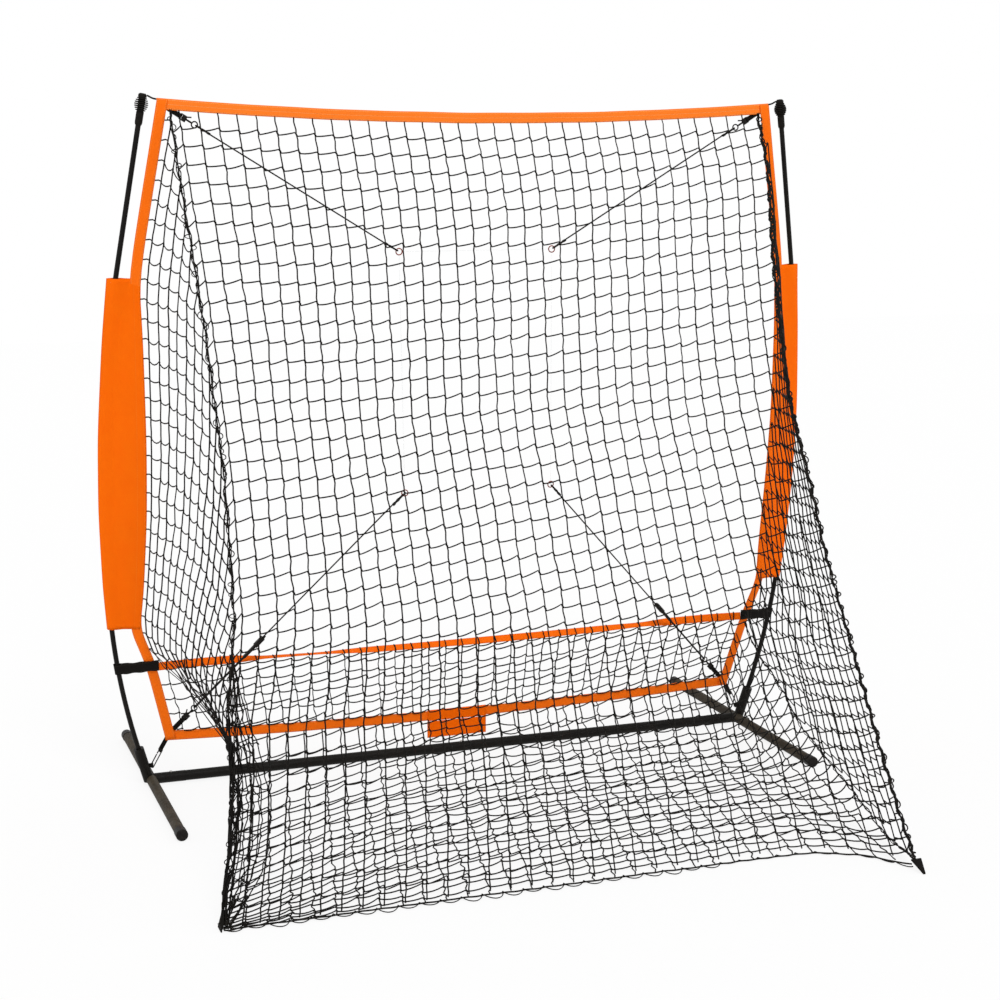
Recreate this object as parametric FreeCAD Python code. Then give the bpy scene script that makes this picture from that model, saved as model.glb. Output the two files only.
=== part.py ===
import FreeCAD, Part
import math
import os
from FreeCAD import Vector

# Ball catching net on two bowed poles.
# +X runs to the right along the base bar, +Y points out of the mouth,
# away from the bag, and +Z points up.
# Pieces are first drawn about the middle of the base bar, at ground
# level. The last step moves them so that the origin lies under the
# middle of the whole object.

# Half the width of the net's frame. The feet, the poles, the net and the
# cords keep their distances from it.
FRAME_HALF = 762.0

# Base frame
FOOT_GAP = 37.0
FOOT_SPACING = 2 * (FRAME_HALF + FOOT_GAP)
FOOT_FRONT = 411.0
FOOT_BACK = 443.0
TUBE_RADIUS = 12.7
TUBE_WALL = 1.4
FOOT_HEIGHT = 13.4
CAP_RADIUS = 13.9
CAP_LENGTH = 30.0
CAP_END = 4.0
STUB_RADIUS = 13.2
STUB_REACH = 72.0
BAR_JOINT = 22.0
SWAGE_LENGTH = 70.0
FIT = 0.1
SEAT = 0.3

# Snap buttons in the base bar
BUTTON_RADIUS = 3.2
BUTTON_CLEAR = 0.05
BUTTON_RISE = 3.0
BUTTON_TRAVEL = 4.0
BUTTON_INSET = 35.0
MIDDLE_BUTTON_X = 7.0
LEAF_LENGTH = 34.0
LEAF_WIDTH = 8.0
LEAF_THICK = 0.8

# Mouth plane and poles
LEAN = 7.01
POLE_RADIUS = 6.0
POLE_ROOT_OUT = 7.0
POLE_ROOT_HEIGHT = 17.0
POLE_ROOT_ANGLE = 15.6
POLE_STRAIGHT = 85.0
POLE_BENDS = ((1785.0, 10.4), (3614.0, 5.2), (3252.0, 9.4))
POLE_TOP_RUN = 375.0
SOCKET_RADIUS = 12.7
SOCKET_WALL = 1.4
SOCKET_LENGTH = 82.0
PLUG_DEPTH = 6.0
PLUG_RIM = 3.0
FERRULE_WALL = 1.3
FERRULE_LENGTH = 90.0

# Tip caps
TIP_COLLAR_RADIUS = 8.5
TIP_COLLAR = 30.0
TIP_GRIP = 40.0
FIN_COUNT = 7
FIN_PITCH = 4.4
FIN_THICK = 2.2
FIN_MIN = 10.0
FIN_SWELL = 5.5
FIN_CORE = 7.0
HEAD_RADIUS = 9.5
HEAD_HEIGHT = 9.0
TIP_CORD_RADIUS = 2.0

# Webbing frame of the net
FRAME_TOP = 1654.0
FRAME_BOTTOM = 111.5
BAND_WIDTH = 25.0
BAND_THICK = 2.0
TOP_SAG = 26.0
TOP_PULL = 15.0
BOTTOM_SAG = 17.0
SIDE_LAP = 4.0
LAP_TOP = 2.4
LAP_BOTTOM = 1.5

# Inner edge of a side band: height, distance out from the frame's inner
# corner and how far the bag pulls it back out of the mouth plane
SIDE_BEND = (
    (FRAME_TOP - SIDE_LAP, 0.0, LAP_TOP),
    (1252.0, 71.5, 10.0),
    (1100.0, 70.0, 38.0),
    (880.0, 69.0, 57.0),
    (700.0, 70.0, 52.0),
    (520.0, 76.0, 30.0),
    (412.0, 84.0, 16.0),
    (316.0, 47.0, 15.0),
    (FRAME_BOTTOM + SIDE_LAP - 0.5, 0.0, LAP_BOTTOM),
)
SIDE_EDGE = tuple((height, FRAME_HALF - BAND_WIDTH + out, pull)
                  for height, out, pull in SIDE_BEND)
SLEEVE_FIRST = 1
SLEEVE_LAST = 6
SLEEVE_RADIUS = 11.0
SLEEVE_WALL = 2.0

# Straps across the mouth
STRAP_HEIGHT = 314.0
STRAP_WIDTH = 27.0
STRAP_THICK = 2.5
STRAP_PAST = 17.0
STRAP_END = FRAME_HALF + STRAP_PAST
STRAP_BACK = 20.5
STRAP_ROOT = 5.5
CROSS_WIDTH = 20.0
CROSS_THICK = 1.6
CROSS_SAG = 13.0
CROSS_STEP = 59.0
CROSS_TURNS = ((0.0, 5.0), (0.14, 25.0), (0.26, 75.0), (0.41, 50.0), (0.57, 50.0),
               (0.73, 60.0), (0.82, 78.0), (0.90, 20.0), (1.0, 5.0))

# Cloth flap on the bottom band
FLAP_LEFT = -87.0
FLAP_RIGHT = 72.0
FLAP_THICK = 2.4
FLAP_DROP = 43.0
LOOP_WALL = 1.6
LOOP_ROOM = 0.5

# Netting
STRAND = 4.0
LEAST_GAP = 100.0
NET_THICK = 2.0
GAP_PITCH = 100.0
ROW_PITCH = 90.0
HEM_DEPTH = 990.0
NET_DROP = 15.0
NET_TOP = FRAME_TOP - NET_DROP
NET_TOP_BACK = 1.5657
NET_TOP_DEPTH = NET_TOP * math.tan(math.radians(LEAN)) + NET_TOP_BACK
NET_CORNER_IN = 29.0
NET_CORNER = FRAME_HALF - NET_CORNER_IN
NET_SET_BACK = 3.0
SEAM_CLEAR = 1.5
EAR_IN = 76.0
EAR_X = NET_CORNER - EAR_IN
EAR_DEPTH = 1160.0
GATHER_OUT = 72.0
GATHER_X = -NET_CORNER - GATHER_OUT
APRON_HEIGHT = 93.0
APRON_DEPTH = 18.0
FLOOR_FRONT = 330.0
FLOOR_SIDE = 27.0
FLOOR_HALF = FRAME_HALF - FLOOR_SIDE
FLOOR_LEFT_TOP_IN = 162.0
FLOOR_LEFT_TOP = FRAME_HALF - FLOOR_LEFT_TOP_IN
FLOOR_LEFT_FRONT_IN = 96.0
FLOOR_LEFT_FRONT = FRAME_HALF - FLOOR_LEFT_FRONT_IN
LIP_ROW = 132.0
GATHER_FOOT = 8.0
GATHER_STATIONS = ((80.0, 11.0), (177.0, 13.0), (330.0, 14.0), (402.0, 9.0))
HEM_RADIUS = 2.5

# Bends of the net's seams: how far each is inside the net's top corner,
# its height and, where it lies off the rear net, its depth
RIGHT_SEAM_BENDS = ((42.0, 1298.0), (71.0, 882.0), (43.0, 421.0))
LEFT_SEAM_BENDS = ((13.0, 1298.0), (25.0, 882.0), (-17.0, 421.0), (-44.0, 177.0))
RIGHT_FOLD_BENDS = ((-35.0, 190.0, 300.0), (10.0, 83.0, 668.0))
LEFT_FOLD_BEND = (-42.0, 300.0, 420.0)
EAR_BEND = (54.0, 175.0, 1000.0)
HEM_TURN_IN = 242.0
HEM_EAR_BEND = (133.0, 0.0, 1045.0)

# Black webbing tabs at the ground corners
EAR_TAB_LENGTH = 34.0
EAR_TAB_WIDTH = 26.0
EAR_TAB_TIP = 6.0
TAB_THICK = 3.0
GATHER_TAB_HEIGHT = 26.0
GATHER_TAB_DEPTH = 34.0

# Tension cords from the frame corners to the four rings
CORD_RADIUS = 1.75
EYE_RADIUS = 3.55
RING_RADIUS = 7.7
RING_WIRE = 1.3
RING_TOP = (194.0, -175.0, 1302.0)
RING_BOTTOM = (189.0, -180.0, 721.0)
CORD_CORNER_IN = 17.0
CORD_CORNER = FRAME_HALF - CORD_CORNER_IN
CORD_CORNER_DROP = 17.0
CORD_CORNER_TOP = FRAME_TOP - CORD_CORNER_DROP
CORD_CORNER_RISE = 22.5
CORD_CORNER_BOTTOM = FRAME_BOTTOM + CORD_CORNER_RISE
CORD_FRONT_TOP = 5.2
CORD_FRONT_BOTTOM = 6.6
TAB_WIDTH = 11.0
TAB_LAYER = 1.2
HOOK_START = 42.0
HOOK_THICK = 3.2
HOOK_BAR = 2.6
HOOK_SLOT = 2.6
HOOK_PLATE = 16.0
HOOK_WIDTH = 15.0
HOOK_SHANK = 2.2
HOOK_RING = 7.0
HOOK_WIRE = 1.6
HOOK_RING_AT = 80.0
DEAD_END = 34.0
WHIP_LENGTH = 8.0
WHIP_RADIUS = 2.7
WHIP_STEPS = (12.0, 26.0)
ADJUSTER_AT = 298.0
ADJUSTER_LENGTH = 28.0
ADJUSTER_RADIUS = 5.6
ADJUSTER_TAIL = 40.0
ADJUSTER_TAIL_RADIUS = 3.4
KNOT_RADIUS = 3.4
TIE_LINE_RADIUS = 0.5

# Corner ties at the foot of the frame
TIE_PIN_RADIUS = 2.4
TIE_CORD_RADIUS = 1.5
TIE_TOP_OUT = 13.0
TIE_TOP = (FRAME_HALF + TIE_TOP_OUT, 88.0)
TIE_FOOT_IN = 3.2
TIE_FOOT = (FOOT_SPACING / 2 - TIE_FOOT_IN, 49.0)
TIE_TAB_IN = 5.0
TIE_TAB_START = (FRAME_HALF - TIE_TAB_IN, 120.0)
TIE_TAB_THICK = 1.6


# General shapes

def unit(v):
    return v * (1.0 / v.Length)


def block(low, high):
    size = high - low
    return Part.makeBox(size.x, size.y, size.z, low)


def rod(start, end, radius):
    run = end - start
    return Part.makeCylinder(radius, run.Length, start, run)


def hollow_rod(start, end, outer, inner):
    return rod(start, end, outer).cut(rod(start, end, inner))


def fused(shapes):
    whole = shapes[0]
    for other in shapes[1:]:
        whole = whole.fuse(other)
    return whole.removeSplitter()


def pipe(edges, radius):
    path = Part.Wire(edges)
    start = edges[0].valueAt(edges[0].FirstParameter)
    run = edges[0].tangentAt(edges[0].FirstParameter)
    ring = Part.Wire([Part.makeCircle(radius, start, run)])
    return path.makePipeShell([ring], True, False)


def loft(sections):
    wires = [Part.makePolygon(list(points) + [points[0]]) for points in sections]
    return Part.makeLoft(wires, True, True)


def plate(points, direction):
    face = Part.Face(Part.makePolygon(list(points) + [points[0]]))
    return face.extrude(direction)


def mirrored(shape):
    return shape.mirror(Vector(0, 0, 0), Vector(1, 0, 0))


def leaned(shape):
    copy = shape.copy()
    copy.rotate(Vector(0, 0, 0), Vector(1, 0, 0), LEAN)
    return copy


def along(height):
    """Distance up the leaning mouth plane for a height above ground."""
    return height / math.cos(math.radians(LEAN))


def mouth_depth(height):
    return -height * math.tan(math.radians(LEAN))


# Route of a pole in the mouth plane, upright before it is leaned

def pole_sections():
    sections = [("run", POLE_STRAIGHT, 0.0)]
    for radius, turn in POLE_BENDS:
        sections.append(("bend", radius, math.radians(turn)))
    sections.append(("run", POLE_TOP_RUN, 0.0))
    return sections


def pole_edges(first, last):
    """Edges of the pole's centre line between two distances along it."""
    point = Vector(FOOT_SPACING / 2 + POLE_ROOT_OUT, 0, POLE_ROOT_HEIGHT)
    angle = math.radians(POLE_ROOT_ANGLE)
    walked = 0.0
    edges = []
    for kind, size, turn in pole_sections():
        length = size if kind == "run" else size * turn
        low = max(first, walked) - walked
        high = min(last, walked + length) - walked
        if kind == "run":
            heading = Vector(math.sin(angle), 0, math.cos(angle))
            if high - low > 0.001:
                edges.append(Part.makeLine(point + heading * low, point + heading * high))
            point = point + heading * length
        else:
            centre = point + Vector(-math.cos(angle), 0, math.sin(angle)) * size

            def on_bend(distance):
                at = angle - distance / size
                return centre - Vector(-math.cos(at), 0, math.sin(at)) * size

            if high - low > 0.001:
                arc = Part.Arc(on_bend(low), on_bend((low + high) / 2), on_bend(high))
                edges.append(arc.toShape())
            point = on_bend(length)
            angle = angle - turn
        walked = walked + length
    return edges


def pole_length():
    bends = sum(radius * math.radians(turn) for radius, turn in POLE_BENDS)
    return POLE_STRAIGHT + bends + POLE_TOP_RUN


def pole_joint():
    (first_radius, first_turn), (next_radius, next_turn) = POLE_BENDS[:2]
    bends = first_radius * math.radians(first_turn) + next_radius * math.radians(next_turn)
    return POLE_STRAIGHT + bends


def pole_at(distance):
    edge = pole_edges(distance, distance + 1.0)[0]
    return edge.valueAt(edge.FirstParameter), edge.tangentAt(edge.FirstParameter)


def pole_distance(height):
    """Distance along the pole at which it has a height in the mouth plane."""
    low = 0.0
    high = pole_length() - 1.0
    while high - low > 0.01:
        middle = (low + high) / 2
        if pole_at(middle)[0].z < height:
            low = middle
        else:
            high = middle
    return low


def on_pole(shape, distance):
    """Stand a shape drawn along +Z on the pole's centre line."""
    point, heading = pole_at(distance)
    turn = math.degrees(math.atan2(heading.x, heading.z))
    copy = shape.copy()
    copy.rotate(Vector(0, 0, 0), Vector(0, 1, 0), turn)
    copy.translate(point)
    return copy


# Base frame

def socket_blank(radius, low, high):
    return leaned(on_pole(Part.makeCylinder(radius, high - low, Vector(0, 0, low)), 0.0))


def foot_tube():
    x = FOOT_SPACING / 2
    front = Vector(x, FOOT_FRONT - CAP_END, FOOT_HEIGHT)
    back = Vector(x, -FOOT_BACK + CAP_END, FOOT_HEIGHT)
    tube = hollow_rod(front, back, TUBE_RADIUS, TUBE_RADIUS - TUBE_WALL)
    return tube.cut(socket_blank(SOCKET_RADIUS, -PLUG_DEPTH - PLUG_RIM, SOCKET_LENGTH))


def foot_cap(end, inward):
    """Cup over a tube end, with a round nose and a flat foot."""
    x = FOOT_SPACING / 2
    seat = Vector(x, end - inward * CAP_END, FOOT_HEIGHT)
    nose = Vector(x, end, FOOT_HEIGHT)
    skirt = Vector(x, end - inward * CAP_LENGTH, FOOT_HEIGHT)
    cup = rod(nose, skirt, CAP_RADIUS)
    cup = cup.makeFillet(CAP_END * 0.75, [edge_at(cup, nose)])
    cup = cup.cut(rod(seat, skirt - Vector(0, inward, 0), TUBE_RADIUS))
    low = Vector(x - CAP_RADIUS, min(end, skirt.y) - 1.0, -CAP_RADIUS)
    high = Vector(x + CAP_RADIUS, max(end, skirt.y) + 1.0, 0.0)
    return cup.cut(block(low, high))


def edge_at(solid, centre):
    for edge in solid.Edges:
        if edge.isClosed() and (edge.Curve.Center - centre).Length < 0.01:
            return edge
    raise ValueError("no round edge there")


def stub_end():
    return FOOT_SPACING / 2 - TUBE_RADIUS - STUB_REACH


def button_hole(x):
    top = Vector(x, 0, FOOT_HEIGHT + STUB_RADIUS + BUTTON_RISE)
    return rod(Vector(x, 0, FOOT_HEIGHT), top, BUTTON_RADIUS + BUTTON_CLEAR)


def bar_stub():
    outer = Vector(FOOT_SPACING / 2, 0, FOOT_HEIGHT)
    inner = Vector(stub_end(), 0, FOOT_HEIGHT)
    stub = hollow_rod(inner, outer, STUB_RADIUS, TUBE_RADIUS - TUBE_WALL)
    foot = rod(outer - Vector(0, FOOT_BACK, 0), outer + Vector(0, FOOT_FRONT, 0), TUBE_RADIUS)
    stub = stub.cut(foot)
    stub = stub.cut(socket_blank(SOCKET_RADIUS, -PLUG_DEPTH - PLUG_RIM, SOCKET_LENGTH))
    return stub.cut(button_hole(stub_end() + BUTTON_INSET))


def swage(start, end):
    outer = TUBE_RADIUS - TUBE_WALL - FIT
    return hollow_rod(start, end, outer, outer - TUBE_WALL)


def bar_point(x):
    return Vector(x, 0, FOOT_HEIGHT)


def main_tube(first, last):
    return hollow_rod(bar_point(first), bar_point(last), TUBE_RADIUS, TUBE_RADIUS - TUBE_WALL)


def swage_shoulder(x, direction):
    """Short closed step where the tube narrows to its swaged end."""
    outer = TUBE_RADIUS
    inner = TUBE_RADIUS - TUBE_WALL - FIT - TUBE_WALL
    return hollow_rod(bar_point(x), bar_point(x + direction * TUBE_WALL), outer, inner)


def base_bar_left():
    end = stub_end()
    body = fused([
        main_tube(-end + SEAT + TUBE_WALL, -BAR_JOINT - SEAT - TUBE_WALL),
        swage_shoulder(-end + SEAT + TUBE_WALL, -1),
        swage_shoulder(-BAR_JOINT - SEAT - TUBE_WALL, 1),
        swage(bar_point(-end + SEAT), bar_point(-end - SWAGE_LENGTH + SEAT)),
        swage(bar_point(-BAR_JOINT - SEAT), bar_point(-BAR_JOINT - SEAT + SWAGE_LENGTH)),
    ])
    body = body.cut(button_hole(-end - BUTTON_INSET))
    return body.cut(button_hole(MIDDLE_BUTTON_X))


def base_bar_right():
    end = stub_end()
    body = fused([
        main_tube(-BAR_JOINT, end - SEAT - TUBE_WALL),
        swage_shoulder(end - SEAT - TUBE_WALL, 1),
        swage(bar_point(end - SEAT), bar_point(end - SEAT + SWAGE_LENGTH)),
    ])
    body = body.cut(button_hole(end + BUTTON_INSET))
    return body.cut(button_hole(MIDDLE_BUTTON_X))


def inner_bore():
    return TUBE_RADIUS - TUBE_WALL - FIT - TUBE_WALL


def leaf_top():
    """Underside of the button flange, above the tube's axis."""
    flange = BUTTON_RADIUS + 1.2
    return math.sqrt(inner_bore() ** 2 - flange ** 2) - FIT - 1.0


def button(x, outer_radius, direction):
    """Domed pin, its flange and the upper leaf that is riveted to it."""
    flange = BUTTON_RADIUS + 1.2
    base = FOOT_HEIGHT + leaf_top()
    top = FOOT_HEIGHT + outer_radius + BUTTON_RISE
    pin = rod(Vector(x, 0, base), Vector(x, 0, top), BUTTON_RADIUS)
    pin = pin.makeFillet(BUTTON_RADIUS * 0.6, [edge_at(pin, Vector(x, 0, top))])
    disc = rod(Vector(x, 0, base), Vector(x, 0, base + 1.0), flange)
    far = x + direction * LEAF_LENGTH
    near = x - direction * flange
    low = Vector(min(near, far), -LEAF_WIDTH / 2, base - LEAF_THICK)
    high = Vector(max(near, far), LEAF_WIDTH / 2, base)
    return fused([pin, disc, block(low, high)])


def button_spring(x, direction):
    """Lower leaf on the floor of the bore, turned up under the upper one."""
    half = LEAF_WIDTH / 2
    floor = -math.sqrt(inner_bore() ** 2 - half ** 2) + FIT
    pressed = leaf_top() - LEAF_THICK - BUTTON_TRAVEL
    far = x + direction * LEAF_LENGTH
    riser = far - direction * LEAF_THICK
    strip = block(Vector(min(x, far), -half, FOOT_HEIGHT + floor),
                  Vector(max(x, far), half, FOOT_HEIGHT + floor + LEAF_THICK))
    turned = block(Vector(min(riser, far), -half, FOOT_HEIGHT + floor),
                   Vector(max(riser, far), half, FOOT_HEIGHT + pressed - SEAT))
    return fused([strip, turned])


# Poles, their sockets and tip caps

def pole_socket():
    inner = SOCKET_RADIUS - SOCKET_WALL
    outside = socket_blank(SOCKET_RADIUS, -PLUG_DEPTH, SOCKET_LENGTH)
    return outside.cut(socket_blank(inner, -PLUG_DEPTH, SOCKET_LENGTH))


def socket_plug():
    """Round plug that closes the foot of a socket and carries the pole."""
    radius = SOCKET_RADIUS - SOCKET_WALL
    stem = Part.makeCylinder(radius, PLUG_DEPTH, Vector(0, 0, -PLUG_DEPTH))
    rim = Part.makeCone(radius * 0.7, SOCKET_RADIUS, PLUG_RIM,
                        Vector(0, 0, -PLUG_DEPTH - PLUG_RIM))
    return leaned(on_pole(fused([stem, rim]), 0.0))


def socket_bush():
    """Moulded bush that centres the pole in its socket."""
    outer = SOCKET_RADIUS - SOCKET_WALL
    body = Part.makeCylinder(outer, SOCKET_LENGTH)
    lip = Part.makeCylinder(SOCKET_RADIUS, 2.0, Vector(0, 0, SOCKET_LENGTH))
    bore = Part.makeCylinder(POLE_RADIUS + FIT, SOCKET_LENGTH + 2.0)
    return leaned(on_pole(fused([body, lip]).cut(bore), 0.0))


def lower_pole():
    return leaned(pipe(pole_edges(0.0, pole_joint()), POLE_RADIUS))


def upper_pole():
    return leaned(pipe(pole_edges(pole_joint(), pole_length()), POLE_RADIUS))


def pole_ferrule():
    edges = pole_edges(pole_joint() - FERRULE_LENGTH / 2, pole_joint() + FERRULE_LENGTH / 2)
    outer = pipe(edges, POLE_RADIUS + FIT + FERRULE_WALL)
    return leaned(outer.cut(pipe(edges, POLE_RADIUS + FIT)))


def fin_radius(index):
    return FIN_MIN + FIN_SWELL * math.sin(math.pi * (index + 0.5) / FIN_COUNT)


def tip_cap():
    """Collar, ribbed bulb and head, turned about the pole's end."""
    bore = POLE_RADIUS + FIT
    points = [(bore, 0.0), (bore + 1.0, 0.0), (TIP_COLLAR_RADIUS, 5.0)]
    points.append((TIP_COLLAR_RADIUS, TIP_COLLAR))
    points.append((FIN_CORE + 0.8, TIP_COLLAR))
    for index in range(FIN_COUNT):
        low = TIP_COLLAR + FIN_PITCH * index + (FIN_PITCH - FIN_THICK)
        points.append((FIN_CORE + 0.8, low))
        points.append((fin_radius(index), low))
        points.append((fin_radius(index), low + FIN_THICK))
        points.append((FIN_CORE + 0.8, low + FIN_THICK))
    base = TIP_COLLAR + FIN_PITCH * FIN_COUNT + 1.0
    points.append((FIN_CORE + 0.8, base))
    points.append((HEAD_RADIUS, base))
    points.append((HEAD_RADIUS, base + HEAD_HEIGHT - 3.0))
    points.append((HEAD_RADIUS - 3.0, base + HEAD_HEIGHT))
    points.append((0.0, base + HEAD_HEIGHT))
    points.append((0.0, TIP_GRIP))
    points.append((bore, TIP_GRIP))
    corners = [Vector(radius, 0, height) for radius, height in points]
    face = Part.Face(Part.makePolygon(corners + [corners[0]]))
    cap = face.revolve(Vector(0, 0, 0), Vector(0, 0, 1), 360)
    return leaned(on_pole(cap, pole_length() - TIP_GRIP))


def route(points, radius):
    """Tube along straight runs joined by the largest arcs that fit."""
    edges = []
    here = points[0]
    least = None
    for before, corner, after in zip(points, points[1:], points[2:]):
        into = unit(corner - before)
        out = unit(after - corner)
        half = math.acos(max(-1.0, min(1.0, into.dot(out)))) / 2
        shorter = min((corner - before).Length, (after - corner).Length)
        bend = 0.45 * shorter / math.tan(half)
        least = bend if least is None else min(least, bend)
        back = 0.45 * shorter
        start = corner - into * back
        end = corner + out * back
        inside = unit(out - into)
        middle = corner + inside * (bend / math.cos(half) - bend)
        edges.append(Part.makeLine(here, start))
        edges.append(Part.Arc(start, middle, end).toShape())
        here = end
    edges.append(Part.makeLine(here, points[-1]))
    tube = pipe(edges, radius)
    length = sum(edge.Length for edge in edges)
    section = math.pi * radius ** 2
    print("cord: length %.1f, least bend %.1f, volume ratio %.4f"
          % (length, least, tube.Volume / (section * length)))
    return tube


def tip_cord():
    """Short cord from the head of a tip cap to the corner of the frame."""
    head = pole_length() - TIP_GRIP + TIP_COLLAR + FIN_PITCH * FIN_COUNT
    point, heading = pole_at(pole_length() - 2.0)
    middle = point + heading * (head + HEAD_HEIGHT / 2 + 1.0 - (pole_length() - 2.0))
    start = middle - Vector(HEAD_RADIUS + SEAT * 2, 0, 0)
    end = Vector(FRAME_HALF + SEAT * 2, BAND_THICK / 2, along(FRAME_TOP) - TIP_CORD_RADIUS - 1.0)
    bend = Vector(end.x * 0.55 + start.x * 0.45, 0, start.z - 6.0)
    return leaned(route([start, bend, end], TIP_CORD_RADIUS))


# Webbing frame

def parabola(share):
    return 1.0 - share * share


def band_section(inner, outer, normal, thick):
    half = normal * (thick / 2)
    return (inner - half, outer - half, outer + half, inner + half)


def level_band(edge_height, sag, pull, below):
    """Webbing across the mouth whose middle sags."""
    sections = []
    steps = 16
    for step in range(steps + 1):
        share = 2.0 * step / steps - 1.0
        top = along(edge_height - sag * parabola(share))
        back = -pull * parabola(share) + BAND_THICK / 2
        upper = Vector(FRAME_HALF * share, back, top)
        lower = upper - Vector(0, 0, below)
        sections.append(band_section(upper, lower, Vector(0, 1, 0), BAND_THICK))
    return leaned(loft(sections))


def top_band():
    return level_band(FRAME_TOP, TOP_SAG, TOP_PULL, BAND_WIDTH)


def bottom_band_top():
    return FRAME_BOTTOM + BAND_WIDTH


def bottom_band():
    return level_band(bottom_band_top(), BOTTOM_SAG, 0.0, BAND_WIDTH)


def side_station(index):
    """Inner edge, direction to the outer edge and front normal."""
    height, reach, pull = SIDE_EDGE[index]
    inner = Vector(reach, -pull, along(height))
    if SLEEVE_FIRST <= index <= SLEEVE_LAST:
        pole = pole_at(pole_distance(along(height)))[0]
        outward = unit(Vector(pole.x, 0, inner.z) - inner)
    else:
        turn = math.radians(6.0)
        outward = Vector(math.cos(turn), math.sin(turn), 0)
    normal = Vector(-outward.y, outward.x, 0)
    return inner, outward, normal


def side_band():
    sections = []
    for index in range(len(SIDE_EDGE)):
        inner, outward, normal = side_station(index)
        if index in (0, len(SIDE_EDGE) - 1):
            outward = Vector(1, 0, 0)
            normal = Vector(0, 1, 0)
        sections.append(band_section(inner, inner + outward * BAND_WIDTH, normal, BAND_THICK))
    return leaned(loft(sections))


def ring_points(reach, radius, first, last, count):
    """Points of a ring round the pole, in a side station's own directions."""
    points = []
    for step in range(count + 1):
        angle = first + (last - first) * step / count
        points.append((reach + radius * math.cos(angle), radius * math.sin(angle)))
    return points


def sleeve():
    """Channel round the pole with a web sewn to the side band."""
    low = BAND_THICK / 2 + SEAT
    high = low + SLEEVE_WALL
    outer = []
    inner_sections = []
    for index in range(SLEEVE_LAST, SLEEVE_FIRST - 1, -1):
        inner, outward, normal = side_station(index)
        pole = pole_at(pole_distance(inner.z))[0]
        reach = (Vector(pole.x, 0, inner.z) - inner).Length
        first = math.pi - math.asin(low / SLEEVE_RADIUS)
        last = 3 * math.pi - math.asin(high / SLEEVE_RADIUS)
        shape = [(0.0, high), (0.0, low)] + ring_points(reach, SLEEVE_RADIUS, first, last, 14)
        bore = ring_points(reach, SLEEVE_RADIUS - SLEEVE_WALL, 0.0, 2 * math.pi, 12)[:-1]
        outer.append([inner + outward * a + normal * b for a, b in shape])
        inner_sections.append([inner + outward * a + normal * b for a, b in bore])
    return leaned(loft(outer).cut(loft(inner_sections)))


def pole_strap():
    """Black strap round the pole with its tail over the side band."""
    distance = pole_distance(along(STRAP_HEIGHT))
    outer = POLE_RADIUS + SEAT + STRAP_THICK
    ring = Part.makeCylinder(outer, STRAP_WIDTH, Vector(0, 0, -STRAP_WIDTH / 2))
    ring = on_pole(ring, distance)
    bore = Part.makeCylinder(POLE_RADIUS + SEAT, STRAP_WIDTH * 2, Vector(0, 0, -STRAP_WIDTH))
    bore = on_pole(bore, distance)
    pole = pole_at(distance)[0]
    root = Vector(pole.x - POLE_RADIUS - SEAT - STRAP_THICK / 2, -STRAP_ROOT, pole.z)
    tip = Vector(STRAP_END, -STRAP_BACK, pole.z)
    run = unit(root - tip)
    normal = Vector(-run.y, run.x, 0)
    half = Vector(0, 0, STRAP_WIDTH / 2)
    sections = []
    for at in (tip, root):
        side = normal * (STRAP_THICK / 2)
        sections.append((at - half - side, at + half - side, at + half + side, at - half + side))
    return leaned(loft(sections).fuse(ring).cut(bore))


def cross_turn(share):
    """Turn of the cross strap about its own run, eased between stations."""
    for (first, low), (last, high) in zip(CROSS_TURNS, CROSS_TURNS[1:]):
        if share <= last:
            part = (share - first) / (last - first)
            eased = part * part * (3.0 - 2.0 * part)
            return math.radians(low + (high - low) * eased)
    return math.radians(CROSS_TURNS[-1][1])


def cross_strap():
    half_length = STRAP_END - SEAT
    steps = int(round(2 * half_length / CROSS_STEP))
    sections = []
    for step in range(steps + 1):
        share = step / steps
        x = half_length * (2.0 * share - 1.0)
        nearness = abs(x) / half_length
        back = STRAP_BACK * nearness ** 8
        height = along(STRAP_HEIGHT) - CROSS_SAG * parabola(nearness)
        middle = Vector(x, -back, height)
        turn = cross_turn(share)
        up = Vector(0, math.sin(turn), math.cos(turn))
        normal = Vector(0, math.cos(turn), -math.sin(turn))
        reach = up * (CROSS_WIDTH / 2)
        sections.append(band_section(middle + reach, middle - reach, normal, CROSS_THICK))
    return leaned(loft(sections))


# Flap and its loop on the bottom band

def flap_middle():
    return along(bottom_band_top() - BOTTOM_SAG) - BAND_WIDTH / 2


def flap_loop():
    reach = BAND_WIDTH / 2 + LOOP_ROOM
    middle = flap_middle()
    inside = block(Vector(FLAP_LEFT, -LOOP_ROOM, middle - reach),
                   Vector(FLAP_RIGHT, BAND_THICK + LOOP_ROOM, middle + reach))
    wall = LOOP_WALL
    outside = block(Vector(FLAP_LEFT, -LOOP_ROOM - wall, middle - reach - wall),
                    Vector(FLAP_RIGHT, BAND_THICK + LOOP_ROOM + wall, middle + reach + wall))
    return leaned(outside.cut(inside))


def flap_hinge():
    """Middle of the flap's round upper edge."""
    below = flap_middle() - BAND_WIDTH / 2 - LOOP_ROOM - LOOP_WALL
    turn = math.radians(LEAN)
    front = BAND_THICK / 2
    depth = front * math.cos(turn) - below * math.sin(turn)
    height = front * math.sin(turn) + below * math.cos(turn)
    return Vector(0, depth, height - FLAP_THICK / 2 - 2 * SEAT)


def flap():
    hinge = flap_hinge()
    half = FLAP_THICK / 2
    edge = rod(Vector(FLAP_LEFT, hinge.y, hinge.z), Vector(FLAP_RIGHT, hinge.y, hinge.z), half)
    sheet = block(Vector(FLAP_LEFT, hinge.y - half, hinge.z - FLAP_DROP),
                  Vector(FLAP_RIGHT, hinge.y + half, hinge.z))
    return fused([edge, sheet])


# Netting. Each panel is one flat or folded face with square gaps.

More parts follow.
